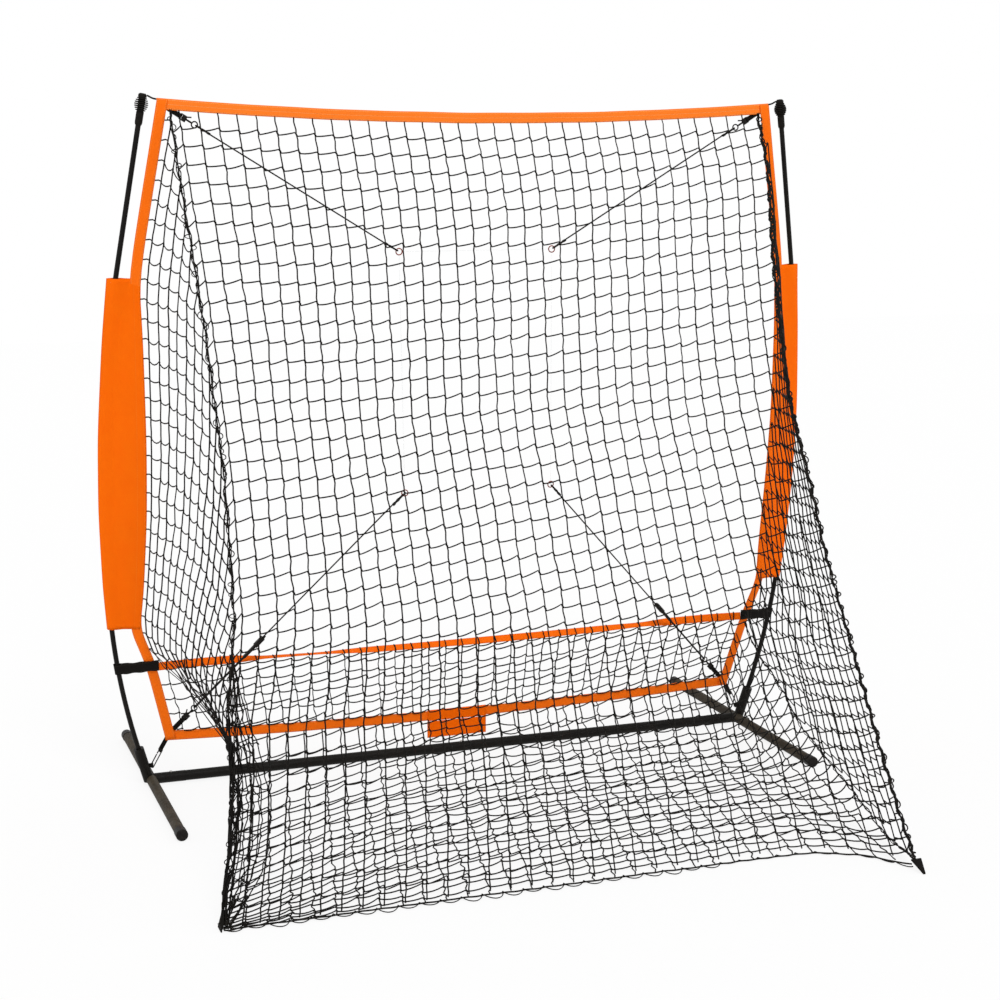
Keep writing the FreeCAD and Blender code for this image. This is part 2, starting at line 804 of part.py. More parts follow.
def rear_point(x, height):
    slope = (HEM_DEPTH - NET_TOP_DEPTH) / NET_TOP
    return Vector(x, -HEM_DEPTH + slope * height, height)


def side_net_edge(index):
    """Where the net is laced to a side band, behind the strap it crosses."""
    height, reach, pull = SIDE_EDGE[index]
    back = pull + NET_SET_BACK
    if abs(height - STRAP_HEIGHT) < STRAP_WIDTH:
        back = max(back, STRAP_BACK + STRAP_THICK / 2 + SEAT * 4)
    return Vector(reach - NET_SET_BACK, mouth_depth(height) - back, height)


def right_bend(inside, height, depth):
    return Vector(NET_CORNER - inside, -depth, height)


def right_rear(inside, height):
    return rear_point(NET_CORNER - inside, height)


def left_rear(inside, height):
    return rear_point(inside - NET_CORNER, height)


EAR = Vector(EAR_X, -EAR_DEPTH, 0)
EAR_MIDDLE = right_bend(*EAR_BEND)
HEM_TURN = right_rear(HEM_TURN_IN, 0)
HEM_EAR = right_bend(*HEM_EAR_BEND)
RIGHT_SEAM = [right_rear(0, NET_TOP)] + [right_rear(*bend) for bend in RIGHT_SEAM_BENDS]
LEFT_SEAM = [left_rear(0, NET_TOP)] + [left_rear(*bend) for bend in LEFT_SEAM_BENDS]
LEFT_SEAM.append(rear_point(GATHER_X, 0))
RIGHT_FOLD = [right_bend(*bend) for bend in RIGHT_FOLD_BENDS]
LEFT_FOLD = Vector(LEFT_FOLD_BEND[0] - NET_CORNER, -LEFT_FOLD_BEND[2], LEFT_FOLD_BEND[1])


def clipped(polygon, corner, inward):
    """Part of a flat polygon that lies on the inner side of a line."""
    kept = []
    for here, after in zip(polygon, polygon[1:] + polygon[:1]):
        near = (here - corner).dot(inward)
        far = (after - corner).dot(inward)
        if near >= 0:
            kept.append(here)
        if (near >= 0) != (far >= 0):
            kept.append(here + (after - here) * (near / (near - far)))
    return kept


def area_vector(polygon):
    total = Vector(0, 0, 0)
    for first, last in zip(polygon[1:], polygon[2:]):
        total = total + (first - polygon[0]).cross(last - polygon[0])
    return total * 0.5


def net_face(outline, gaps):
    """Flat face with each gap wound against the outline."""
    facing = area_vector(outline)
    wires = [Part.makePolygon(list(outline) + [outline[0]])]
    for gap in gaps:
        wound = list(gap)
        if area_vector(gap).dot(facing) > 0:
            wound.reverse()
        wires.append(Part.makePolygon(wound + [wound[0]]))
    return Part.Face(wires)


def cleaned(polygon):
    """Polygon without corners that nearly meet."""
    kept = []
    for point in polygon:
        if not kept or (point - kept[-1]).Length > 1.0:
            kept.append(point)
    while len(kept) > 2 and (kept[0] - kept[-1]).Length <= 1.0:
        kept.pop()
    return kept


def holed_facet(corners, across, up, origin, pitch):
    """Flat convex facet with the gaps of one mesh grid cut out of it.

    The grid is drawn along two directions and dropped on to the facet,
    so that facets of one panel share their rows.
    """
    normal = unit((corners[1] - corners[0]).cross(corners[2] - corners[0]))
    drop = across.cross(up)

    def on_facet(point):
        travel = (corners[0] - point).dot(normal) / drop.dot(normal)
        return point + drop * travel

    spans = [((c - origin).dot(across), (c - origin).dot(up)) for c in corners]
    first = [int(math.floor(min(s[i] for s in spans) / pitch[i])) for i in (0, 1)]
    last = [int(math.ceil(max(s[i] for s in spans) / pitch[i])) for i in (0, 1)]
    centre = Vector(0, 0, 0)
    for corner in corners:
        centre = centre + corner * (1.0 / len(corners))
    gaps = []
    for column in range(first[0], last[0]):
        for row in range(first[1], last[1]):
            cell = []
            for i, j in ((0, 0), (1, 0), (1, 1), (0, 1)):
                a = (column + i) * pitch[0] + (0.5 - i) * STRAND
                b = (row + j) * pitch[1] + (0.5 - j) * STRAND
                cell.append(on_facet(origin + across * a + up * b))
            for here, after in zip(corners, corners[1:] + corners[:1]):
                inward = unit(normal.cross(after - here))
                if inward.dot(centre - here) < 0:
                    inward = inward * -1.0
                cell = clipped(cell, here + inward * (STRAND * 0.75), inward)
                if len(cell) < 3:
                    break
            cell = cleaned(cell)
            if len(cell) > 2 and area_vector(cell).Length > LEAST_GAP:
                gaps.append(cell)
    return net_face(corners, gaps), len(gaps)


def net_panel(facets, across, up, origin, pitch, outward):
    """Folded net: each facet is pushed out the same way, so they meet."""
    solids = []
    count = 0
    for corners in facets:
        face, gaps = holed_facet(list(corners), across, up, origin, pitch)
        solids.append(face.extrude(outward))
        count = count + gaps
    print("net panel: %d gaps" % count)
    if len(solids) == 1:
        return solids[0]
    return solids[0].fuse(solids[1:])


def rear_outline():
    """Outline of the flat rear net, with its top edge on the sagging band."""
    top = []
    steps = 8
    for step in range(1, steps):
        share = 1.0 - 2.0 * step / steps
        drop = TOP_SAG * parabola(share)
        top.append(rear_point(NET_CORNER * share, NET_TOP - drop))
    return list(LEFT_SEAM) + [HEM_TURN] + list(reversed(RIGHT_SEAM)) + top


def seam_point(chain, height):
    """Point of a rear seam at a height above ground."""
    for upper, lower in zip(chain, chain[1:]):
        if lower.z <= height <= upper.z:
            part = (upper.z - height) / (upper.z - lower.z)
            return upper + (lower - upper) * part
    return chain[-1]


def rear_net():
    """Flat rear net, its rows cut off along the two seams."""
    chains = (list(LEFT_SEAM), list(RIGHT_SEAM) + [HEM_TURN])
    highest = NET_TOP - TOP_SAG - STRAND
    rows = int(math.floor((highest - STRAND) / ROW_PITCH))
    pitch = (highest - STRAND) / rows
    columns = int(math.ceil(FRAME_HALF * 1.1 / GAP_PITCH))
    gaps = []
    for row in range(rows):
        low = STRAND + pitch * row + STRAND / 2
        high = STRAND + pitch * (row + 1) - STRAND / 2
        for column in range(-columns, columns):
            start = column * GAP_PITCH + STRAND / 2
            end = (column + 1) * GAP_PITCH - STRAND / 2
            cell = [rear_point(start, low), rear_point(end, low),
                    rear_point(end, high), rear_point(start, high)]
            for chain, side in zip(chains, (1, -1)):
                lower = seam_point(chain, low) + Vector(side * STRAND, 0, 0)
                upper = seam_point(chain, high) + Vector(side * STRAND, 0, 0)
                inward = Vector(side * (upper.z - lower.z), 0, -side * (upper.x - lower.x))
                cell = clipped(cell, lower, inward) if len(cell) > 2 else cell
            cell = cleaned(cell)
            if len(cell) > 2 and area_vector(cell).Length > LEAST_GAP:
                gaps.append(cell)
    print("rear net: %d gaps" % len(gaps))
    return net_face(rear_outline(), gaps).extrude(Vector(0, -NET_THICK, 0))


def rear_net_corner():
    """Corner of the rear net that is drawn out to its ground tab."""
    facets = [(RIGHT_SEAM[3], EAR_MIDDLE, HEM_TURN), (EAR_MIDDLE, HEM_EAR, HEM_TURN),
              (EAR_MIDDLE, EAR, HEM_EAR)]
    return net_panel(facets, Vector(1, 0, 0), Vector(0, 0, 1), Vector(0, 0, STRAND),
                     (GAP_PITCH, ROW_PITCH), Vector(0, -NET_THICK, 0))


def mirror_point(point):
    return Vector(-point.x, point.y, point.z)


def side_net_right():
    b = [side_net_edge(index) for index in range(1, len(SIDE_EDGE) - 1)]
    b_top, b_high, b_mid, b_low, b_knee, b_foot, b_strap = b
    top, s_high, s_mid, s_low = RIGHT_SEAM
    fold_near, fold_far = RIGHT_FOLD
    corner = Vector(FLOOR_HALF, -APRON_DEPTH, APRON_HEIGHT)
    ground = Vector(FLOOR_HALF, -FLOOR_FRONT, 0)
    facets = [
        (top, b_top, s_high), (b_top, b_high, s_high), (b_high, s_mid, s_high),
        (b_high, b_mid, s_mid), (b_mid, b_low, s_mid), (b_low, s_low, s_mid),
        (b_low, b_knee, s_low), (b_knee, b_foot, s_low), (b_foot, b_strap, s_low),
        (b_strap, fold_near, s_low), (fold_near, fold_far, s_low),
        (fold_far, EAR_MIDDLE, s_low), (fold_far, EAR, EAR_MIDDLE),
        (b_strap, corner, fold_near), (corner, ground, fold_near),
        (ground, fold_far, fold_near), (ground, EAR, fold_far),
    ]
    return net_panel(facets, Vector(0, 1, 0), Vector(0, 0, 1), Vector(0, 0, STRAND),
                     (GAP_PITCH, GAP_PITCH), Vector(NET_THICK, 0, 0))


def side_net_left():
    """Left side net, whose lower edge is gathered up to the rear seam."""
    b = [mirror_point(side_net_edge(index)) for index in range(1, len(SIDE_EDGE) - 1)]
    b_top, b_high, b_mid, b_low, b_knee, b_foot, b_strap = b
    top, s_high, s_mid, s_low = LEFT_SEAM[:4]
    facets = [
        (top, b_top, s_high), (b_top, b_high, s_high), (b_high, s_mid, s_high),
        (b_high, b_mid, s_mid), (b_mid, b_low, s_mid), (b_low, s_low, s_mid),
        (b_low, b_knee, s_low), (b_knee, b_foot, s_low), (b_foot, b_strap, s_low),
        (b_strap, LEFT_FOLD, s_low),
    ]
    return net_panel(facets, Vector(0, 1, 0), Vector(0, 0, 1), Vector(0, 0, STRAND),
                     (GAP_PITCH, GAP_PITCH), Vector(-NET_THICK, 0, 0))


def floor_edge():
    """Four corners of the apron: its top edge, then its ground edge."""
    inside = FLOOR_HALF - SEAM_CLEAR
    return (Vector(-FLOOR_LEFT_TOP, -APRON_DEPTH, APRON_HEIGHT),
            Vector(-FLOOR_LEFT_FRONT, -FLOOR_FRONT, 0),
            Vector(inside, -FLOOR_FRONT, 0), Vector(inside, -APRON_DEPTH, APRON_HEIGHT))


def apron_net():
    """Sloping net from the bottom band down to the ground."""
    return net_panel([floor_edge()], Vector(1, 0, 0), Vector(0, 1, 0),
                     Vector(0, -STRAND, 0), (GAP_PITCH, GAP_PITCH), Vector(0, 0, NET_THICK))


def floor_net():
    """Net that lies on the ground from the apron to the hem."""
    left_front, right_front = floor_edge()[1:3]
    in_hem = Vector(0, SEAM_CLEAR, 0)
    left_back = LEFT_SEAM[-1] + in_hem + Vector(SEAM_CLEAR, 0, 0)
    turn, ear_turn = HEM_TURN + in_hem, HEM_EAR + Vector(SEAM_CLEAR, SEAM_CLEAR, 0)
    ear_tip = EAR + Vector(-SEAM_CLEAR, 4 * SEAM_CLEAR, 0)
    facets = [
        (left_front, left_back, turn, right_front),
        (right_front, turn, ear_turn),
        (right_front, ear_turn, ear_tip),
    ]
    return net_panel(facets, Vector(1, 0, 0), Vector(0, 1, 0), Vector(0, -STRAND, 0),
                     (GAP_PITCH, GAP_PITCH), Vector(0, 0, NET_THICK))


def lip_net():
    """Flat net that closes the foot of the mouth up to the cross strap."""
    high = along(STRAP_HEIGHT) - CROSS_SAG - CROSS_WIDTH / 2 - SEAT
    low = flap_middle() + BAND_WIDTH / 2 + LOOP_ROOM + LOOP_WALL + SEAT
    edge = SIDE_EDGE[-2:]
    corners = []
    for height, side in ((low, -1), (low, 1), (high, 1), (high, -1)):
        part = (height - along(edge[1][0])) / (along(edge[0][0]) - along(edge[1][0]))
        reach = edge[1][1] + (edge[0][1] - edge[1][1]) * part - SEAT
        corners.append(Vector(side * reach, -SEAT, height))
    panel = net_panel([corners], Vector(1, 0, 0), Vector(0, 0, 1),
                      Vector(GAP_PITCH / 2, 0, LIP_ROW), (GAP_PITCH, GAP_PITCH),
                      Vector(0, -NET_THICK, 0))
    return leaned(panel)


def net_gather():
    """Bundle of the slack netting at the gathered corner."""
    bottom = GATHER_TAB_HEIGHT + SEAT
    stations = [(bottom, GATHER_FOOT)] + list(GATHER_STATIONS)
    rings = []
    for height, radius in stations:
        centre = seam_point(LEFT_SEAM, height) - Vector(radius + SEAT * 2, 0, 0)
        rings.append(Part.Wire([Part.makeCircle(radius, centre)]))
    return Part.makeLoft(rings, True, True)


def hem_cord():
    """Cord laced along the hem, resting on the ground."""
    slope = (HEM_DEPTH - NET_TOP_DEPTH) / NET_TOP
    out = NET_THICK + (HEM_RADIUS + SEAT) * math.hypot(1.0, slope) - slope * HEM_RADIUS
    start = LEFT_SEAM[-1] + Vector(4, -out, HEM_RADIUS)
    middle = Vector((start.x + HEM_TURN.x) / 2, start.y - 0.8, HEM_RADIUS)
    turn = HEM_TURN + Vector(-6, -out - 0.5, HEM_RADIUS)
    ear = HEM_EAR + Vector(-6, -out - 3.0, HEM_RADIUS)
    near = Vector(EAR.x - 22, EAR.y + 42 - out, HEM_RADIUS)
    end = EAR + Vector(-11, -out + 4, HEM_RADIUS)
    return route([start, middle, turn, ear, near, end], HEM_RADIUS)


def ear_tab():
    """Webbing tab at the corner of the net that is pulled out."""
    base = EAR.y - NET_THICK - SEAT
    half = EAR_TAB_WIDTH / 2
    tip = EAR_TAB_TIP / 2
    points = [Vector(EAR.x - half, base, 0), Vector(EAR.x + half, base, 0),
              Vector(EAR.x + tip + 1.0, base - EAR_TAB_LENGTH, 0),
              Vector(EAR.x - tip + 1.0, base - EAR_TAB_LENGTH, 0)]
    return plate(points, Vector(0, 0, TAB_THICK))


def gather_tab():
    """Webbing tab that stands at the gathered ground corner."""
    x = GATHER_X - NET_THICK - SEAT
    y = -HEM_DEPTH
    points = [Vector(x, y - 8.0, 0), Vector(x, y + GATHER_TAB_DEPTH - 8.0, 0),
              Vector(x, y + GATHER_TAB_DEPTH * 0.6, GATHER_TAB_HEIGHT),
              Vector(x, y + 2.0, GATHER_TAB_HEIGHT)]
    return plate(points, Vector(-TAB_THICK, 0, 0))


# Tension cords. Each is drawn along +X from its frame corner, with the
# two strands of an eye one above the other along Y, then placed.

def cord_ends(top):
    ring = Vector(*(RING_TOP if top else RING_BOTTOM))
    height = CORD_CORNER_TOP if top else CORD_CORNER_BOTTOM
    front = CORD_FRONT_TOP if top else CORD_FRONT_BOTTOM
    corner = Vector(CORD_CORNER, mouth_depth(height) + front, height)
    return corner, ring


def cord_place(top):
    corner, ring = cord_ends(top)
    u = unit(ring - corner)
    n = unit(Vector(0, 1, 0) - u * u.y)
    t = u.cross(n)
    matrix = FreeCAD.Matrix(u.x, n.x, t.x, corner.x, u.y, n.y, t.y, corner.y,
                            u.z, n.z, t.z, corner.z, 0, 0, 0, 1)
    return FreeCAD.Placement(matrix), (ring - corner).Length


def placed(shape, top):
    copy = shape.copy()
    copy.Placement = cord_place(top)[0].multiply(copy.Placement)
    return copy


def eye_near():
    return HOOK_RING_AT + HOOK_RING


def eye_far(top):
    return cord_place(top)[1] - RING_RADIUS


def strand_end(top):
    if top:
        return eye_near() + DEAD_END
    return ADJUSTER_AT + ADJUSTER_LENGTH + SEAT + KNOT_RADIUS


def tension_cord(top):
    """One cord with an eye round the hook and an eye round the ring."""
    gap = EYE_RADIUS
    near = eye_near()
    far = eye_far(top)
    edges = [
        Part.makeLine(Vector(strand_end(top), -gap, 0), Vector(near, -gap, 0)),
        Part.Arc(Vector(near, -gap, 0), Vector(near - gap, 0, 0),
                 Vector(near, gap, 0)).toShape(),
        Part.makeLine(Vector(near, gap, 0), Vector(far, gap, 0)),
        Part.Arc(Vector(far, gap, 0), Vector(far + gap, 0, 0),
                 Vector(far, -gap, 0)).toShape(),
        Part.makeLine(Vector(far, -gap, 0), Vector(far - DEAD_END, -gap, 0)),
    ]
    cord = pipe(edges, CORD_RADIUS)
    length = sum(edge.Length for edge in edges)
    print("tension cord: length %.1f, eye radius %.2f, volume ratio %.4f"
          % (length, gap, cord.Volume / (math.pi * CORD_RADIUS ** 2 * length)))
    if not top:
        cord = cord.fuse(Part.makeSphere(KNOT_RADIUS, Vector(strand_end(top), -gap, 0)))
    return placed(cord, top)


def twin_sleeve(start, length, radius, bore):
    """Short sleeve that holds the two strands of an eye together."""
    end = start + length
    body = fused([
        rod(Vector(start, -EYE_RADIUS, 0), Vector(end, -EYE_RADIUS, 0), radius),
        rod(Vector(start, EYE_RADIUS, 0), Vector(end, EYE_RADIUS, 0), radius),
        block(Vector(start, -EYE_RADIUS, -radius), Vector(end, EYE_RADIUS, radius)),
    ])
    for side in (-EYE_RADIUS, EYE_RADIUS):
        body = body.cut(rod(Vector(start, side, 0), Vector(end, side, 0), bore))
    return body


def whippings(top):
    """Whippings at the ring end, and at the hook end of a top cord."""
    bore = CORD_RADIUS + FIT
    far = eye_far(top)
    made = [twin_sleeve(far - step - WHIP_LENGTH, WHIP_LENGTH, WHIP_RADIUS, bore)
            for step in WHIP_STEPS]
    if top:
        made += [twin_sleeve(eye_near() + step, WHIP_LENGTH, WHIP_RADIUS, bore)
                 for step in WHIP_STEPS]
    return [placed(shape, top) for shape in made]


def adjuster():
    """Moulded slider on both strands, thick end towards the ring."""
    bore = CORD_RADIUS + FIT
    body = twin_sleeve(ADJUSTER_AT, ADJUSTER_LENGTH, ADJUSTER_RADIUS, bore)
    tail = twin_sleeve(ADJUSTER_AT - ADJUSTER_TAIL, ADJUSTER_TAIL, ADJUSTER_TAIL_RADIUS, bore)
    groove = ADJUSTER_LENGTH / 5
    slider = body.fuse(tail)
    for index in (1, 3):
        low = Vector(ADJUSTER_AT + groove * index, -EYE_RADIUS * 3, ADJUSTER_RADIUS - 0.8)
        high = Vector(ADJUSTER_AT + groove * (index + 1), EYE_RADIUS * 3, ADJUSTER_RADIUS + 1.0)
        slider = slider.cut(block(low, high))
    return placed(slider, False)


def cord_hook(top):
    """Plate with a slot for the tab, a shank, a nib and a closed ring."""
    half = HOOK_THICK / 2
    wide = HOOK_WIDTH / 2
    low = Vector(HOOK_START, -half, -wide)
    body = block(low, Vector(HOOK_START + HOOK_PLATE, half, wide))
    slot = TAB_WIDTH / 2 + SEAT
    start = HOOK_START + HOOK_BAR
    body = body.cut(block(Vector(start, -half, -slot), Vector(start + HOOK_SLOT, half, slot)))
    shank_end = HOOK_RING_AT - HOOK_RING
    shank = rod(Vector(HOOK_START + HOOK_PLATE - 2.0, 0, 0), Vector(shank_end, 0, 0), HOOK_SHANK)
    ring = Part.makeTorus(HOOK_RING, HOOK_WIRE, Vector(HOOK_RING_AT, 0, 0), Vector(0, 1, 0))
    nib_root = Vector(HOOK_START + HOOK_PLATE - 1.0, 0, -wide + 2.0)
    nib = rod(nib_root, nib_root + Vector(9.0, 0, -5.0), HOOK_WIRE)
    return placed(fused([body, shank, ring, nib]), top)


def corner_tab(top):
    """Webbing doubled through the slot of its hook."""
    front = HOOK_THICK / 2 + SEAT / 2
    half = TAB_WIDTH / 2
    bend = HOOK_START + HOOK_BAR + SEAT
    layers = [
        block(Vector(0, front, -half), Vector(bend + TAB_LAYER, front + TAB_LAYER, half)),
        block(Vector(0, -front - TAB_LAYER, -half), Vector(bend + TAB_LAYER, -front, half)),
        block(Vector(bend, -front, -half), Vector(bend + TAB_LAYER, front, half)),
        block(Vector(0, -front, -half), Vector(12.0, front, half)),
    ]
    return placed(fused(layers), top)


def target_ring(top):
    centre = Vector(cord_place(top)[1], 0, 0)
    return placed(Part.makeTorus(RING_RADIUS, RING_WIRE, centre, Vector(0, 1, 0)), top)


def tie_line():
    """Clear line from ring to ring, which takes the pull of the cords."""
    inside = RING_RADIUS - RING_WIRE - TIE_LINE_RADIUS
    top = Vector(*RING_TOP)
    bottom = Vector(*RING_BOTTOM)
    down = unit(bottom - top)
    level = Vector(1, 0, 0)
    lines = []
    for ring in (top, bottom):
        end = Vector(ring.x - inside - RING_WIRE * 2 - 1.0, ring.y, ring.z)
        lines.append(rod(mirror_point(end), end, TIE_LINE_RADIUS))
    gap = RING_RADIUS + RING_WIRE + SEAT
    side = rod(top + down * gap, bottom - down * gap, TIE_LINE_RADIUS)
    lines.append(side)
    lines.append(mirrored(side))
    return lines


# Corner ties

def tie_point(place, depth):
    return Vector(place[0], depth, place[1])


def tie_tab():
    """Webbing from the frame's foot corner to its toggle."""
    start = tie_point(TIE_TAB_START, 0)
    end = tie_point(TIE_TOP, 0)
    run = unit(end - start)
    side = Vector(-run.z, 0, run.x) * (TAB_WIDTH / 2)
    low = Vector(0, BAND_THICK + SEAT, 0)
    thick = Vector(0, TIE_TAB_THICK, 0)
    strip = plate([start - side + low, end - side + low, end + side + low, start + side + low],
                  thick)
    eye = rod(end + low, end + low + thick * 2, TIE_PIN_RADIUS + SEAT / 3 + TIE_TAB_THICK)
    hole = rod(end, end + Vector(0, 20, 0), TIE_PIN_RADIUS + SEAT / 3)
    return leaned(strip.fuse(eye).cut(hole))


def tie_toggle():
    """Headed pin through the tab that the loop is hooked on."""
    front = BAND_THICK + SEAT + TIE_TAB_THICK * 2
    back = -TIE_CORD_RADIUS * 2 - SEAT
    stem = rod(tie_point(TIE_TOP, back), tie_point(TIE_TOP, front + SEAT), TIE_PIN_RADIUS)
    heads = [rod(tie_point(TIE_TOP, back - 1.2), tie_point(TIE_TOP, back), 4.2),
             rod(tie_point(TIE_TOP, front + SEAT), tie_point(TIE_TOP, front + 1.5), 4.2)]
    return leaned(fused([stem] + heads))


def tie_depth():
    return -TIE_CORD_RADIUS + SEAT


def tie_loop():
    """Closed loop of cord from the toggle to the socket's pin."""
    top = tie_point(TIE_TOP, tie_depth())
    foot = tie_point(TIE_FOOT, tie_depth())
    run = unit(foot - top)
    reach = TIE_PIN_RADIUS + SEAT / 3 + TIE_CORD_RADIUS
    side = Vector(-run.z, 0, run.x) * reach
    open_end = top + side + run * 12.0
    edges = [
        Part.makeLine(open_end, foot + side),
        Part.Arc(foot + side, foot + run * reach, foot - side).toShape(),
        Part.makeLine(foot - side, top - side),
        Part.Arc(top - side, top - run * reach, top + side).toShape(),
        Part.makeLine(top + side, top + side + run * 10.0),
    ]
    return leaned(pipe(edges, TIE_CORD_RADIUS))


def tie_lug():
    """Small lug on the socket with the pin that the loop pulls on."""
    foot = tie_point(TIE_FOOT, 0)
    front = TIE_CORD_RADIUS + SEAT * 3
    back = tie_depth() - TIE_CORD_RADIUS - SEAT
    pin = rod(foot + Vector(0, back, 0), foot + Vector(0, front, 0), TIE_PIN_RADIUS)
    plate_low = foot + Vector(-TIE_PIN_RADIUS - 1.0, front, -5.0)
    plate_high = foot + Vector(16.0, front + 2.5, 5.0)
    body = pin.fuse(block(plate_low, plate_high))
    return leaned(body).cut(socket_blank(SOCKET_RADIUS, -PLUG_DEPTH, SOCKET_LENGTH + 2.0))


# Whole object

def back_reach():
    return EAR_DEPTH + NET_THICK + SEAT + EAR_TAB_LENGTH


SHIFT = Vector(0, (back_reach() - FOOT_FRONT) / 2, 0)


def both(shape):
    return [shape, mirrored(shape)]


def save(name, shapes):
    """Write one node, moved so that the origin is under the middle."""
    if not isinstance(shapes, list):
        shapes = [shapes]
    solids = []
    for shape in shapes:
        solids += shape.Solids
    whole = solids[0] if len(solids) == 1 else Part.makeCompound(solids)
    whole = whole.copy()
    whole.translate(SHIFT)
    good = "valid" if whole.isValid() else "NOT VALID"
    print("%s: %d solids, %.1f cm3, %s" % (name, len(solids), whole.Volume / 1000.0, good))
    whole.exportStep("parts/%s.step" % name)


def save_pair(name, shape):
    save(name + "_right", shape)
    save(name + "_left", mirrored(shape))


def base_frame():
    save("base_bar_left", base_bar_left())
    save("base_bar_right", base_bar_right())
    save("bar_stubs", both(bar_stub()))
    save_pair("foot_tube", foot_tube())
    caps = [foot_cap(FOOT_FRONT, 1), foot_cap(-FOOT_BACK, -1)]
    save("foot_caps", caps + [mirrored(cap) for cap in caps])
    side = stub_end() + BUTTON_INSET
    save("button_right", button(side, STUB_RADIUS, -1))
    save("button_left", button(-side, STUB_RADIUS, 1))
    save("button_middle", button(MIDDLE_BUTTON_X, TUBE_RADIUS, 1))
    save("button_springs", [button_spring(side, -1), button_spring(-side, 1),
                            button_spring(MIDDLE_BUTTON_X, 1)])


def pole_set():
    save_pair("pole_socket", pole_socket())
    save("socket_plugs", both(socket_plug()))
    save("socket_bushes", both(socket_bush()))
    save_pair("lower_pole", lower_pole())
    save_pair("upper_pole", upper_pole())
    save("pole_ferrules", both(pole_ferrule()))
    save_pair("tip_cap", tip_cap())
    save("tip_cords", both(tip_cord()))


def webbing_frame():
    save("top_band", top_band())
    save("bottom_band", bottom_band())
    save_pair("side_band", side_band())
    save_pair("sleeve", sleeve())
    save_pair("pole_strap", pole_strap())
    save("cross_strap", cross_strap())
    save("flap_loop", flap_loop())
    save("flap", flap())


def netting():
    save("rear_net", rear_net())
    save("rear_net_corner", rear_net_corner())
    save("side_net_right", side_net_right())
    save("side_net_left", side_net_left())
    save("floor_net", floor_net())
    save("apron_net", apron_net())
    save("lip_net", lip_net())
    save("net_gather", net_gather())
    save("hem_cord", hem_cord())
    save("ground_tabs", [ear_tab(), gather_tab()])


def cord_set():
    hooks = []
    tabs = []
    rings = []
    whips = []
    for top in (True, False):
        place = "top" if top else "bottom"
        save_pair("tension_cord_" + place, tension_cord(top))
        hooks += both(cord_hook(top))
        tabs += both(corner_tab(top))
        rings += both(target_ring(top))
        for whip in whippings(top):
            whips += both(whip)
    save("cord_hooks", hooks)
    save("corner_tabs", tabs)
    save("target_rings", rings)
    save("cord_whippings", whips)
    save_pair("cord_adjuster", adjuster())
    save("ring_tie_line", tie_line())


def corner_ties():
    save("tie_tabs", both(tie_tab()))
    save("tie_toggles", both(tie_toggle()))
    save_pair("tie_loop", tie_loop())
    save("tie_lugs", both(tie_lug()))


os.makedirs("parts", exist_ok=True)
base_frame()
pole_set()
webbing_frame()
netting()
cord_set()
corner_ties()
hinge = flap_hinge() + SHIFT
print("flap hinge at y %.2f z %.2f, shift %.2f" % (hinge.y, hinge.z, SHIFT.y))
slide = cord_place(False)[0].Rotation.multVec(Vector(1, 0, 0))
print("adjuster axis %.5f %.5f %.5f" % (slide.x, slide.y, slide.z))
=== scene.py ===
import logging
import math
import random
from dataclasses import dataclass, field
from enum import Enum
from typing import Callable, Sequence

import bmesh
import bpy
from mathutils import Matrix, Vector


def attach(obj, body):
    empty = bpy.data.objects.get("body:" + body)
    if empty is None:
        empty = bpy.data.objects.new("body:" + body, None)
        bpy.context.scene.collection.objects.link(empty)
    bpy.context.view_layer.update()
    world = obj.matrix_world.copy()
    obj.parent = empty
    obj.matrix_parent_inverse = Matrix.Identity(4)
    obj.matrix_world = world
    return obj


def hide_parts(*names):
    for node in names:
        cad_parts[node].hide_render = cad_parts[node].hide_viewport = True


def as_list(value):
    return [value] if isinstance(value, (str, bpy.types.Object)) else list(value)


LOG = logging.getLogger("practice_net")

# One millimetre in the model's metres. Sizes are written in millimetres
# unless their name or docstring says metres.
MM = 0.001

# The model's origin lies under the middle of its outline. The base bar's own
# middle is this far in front of it, and the mouth leans back by this angle.
SHIFT = 392.65
LEAN = math.radians(7.01)

# Knot to knot distance of the netting and half the thickness of its twine
MESH_PITCH = 44.2
TWINE_RADIUS = 1.65

# Lowest middle of a strand or seam cord that lies on the ground
GROUND_CLEAR = 3.0

# Pieces that a span between two points of a chain is cut into
SPAN_STEPS = 8

# Range of a random phase in radians, about one turn
PHASE_RANGE = 6.28

# The sRGB curve: a straight part up to the knee, and a power above it
SRGB_KNEE = 0.04045
SRGB_SLOPE = 12.92
SRGB_OFFSET = 0.055
SRGB_SCALE = 1.055
SRGB_POWER = 2.4

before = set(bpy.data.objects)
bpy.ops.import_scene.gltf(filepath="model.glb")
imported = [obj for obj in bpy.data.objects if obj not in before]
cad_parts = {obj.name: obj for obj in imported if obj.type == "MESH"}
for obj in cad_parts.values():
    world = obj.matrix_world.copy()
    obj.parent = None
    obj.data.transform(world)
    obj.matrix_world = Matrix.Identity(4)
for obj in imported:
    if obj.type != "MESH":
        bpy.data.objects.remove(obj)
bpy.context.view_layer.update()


class Body(Enum):
    """Bodies that a drawn piece rides on."""

    FRAME = "frame_and_net"
    FLAP = "flap"


class Slot(Enum):
    """Material slots of the drawn pieces."""

    ORANGE = "orange_polyester_webbing"
    BLACK_WEB = "black_polyester_webbing"
    NETTING = "black_knotted_netting"
    CORD = "black_braided_cord"
    LINE = "clear_line"


def row_point(x: float, y: float, z: float) -> Vector:
    """Turns millimetres about the base bar's middle into the model's metres.

    Args:
        x: Distance to the right.
        y: Distance to the front.
        z: Height over the ground.

    Returns:
        The point in metres.
    """
    return Vector((x, y + SHIFT, z)) * MM


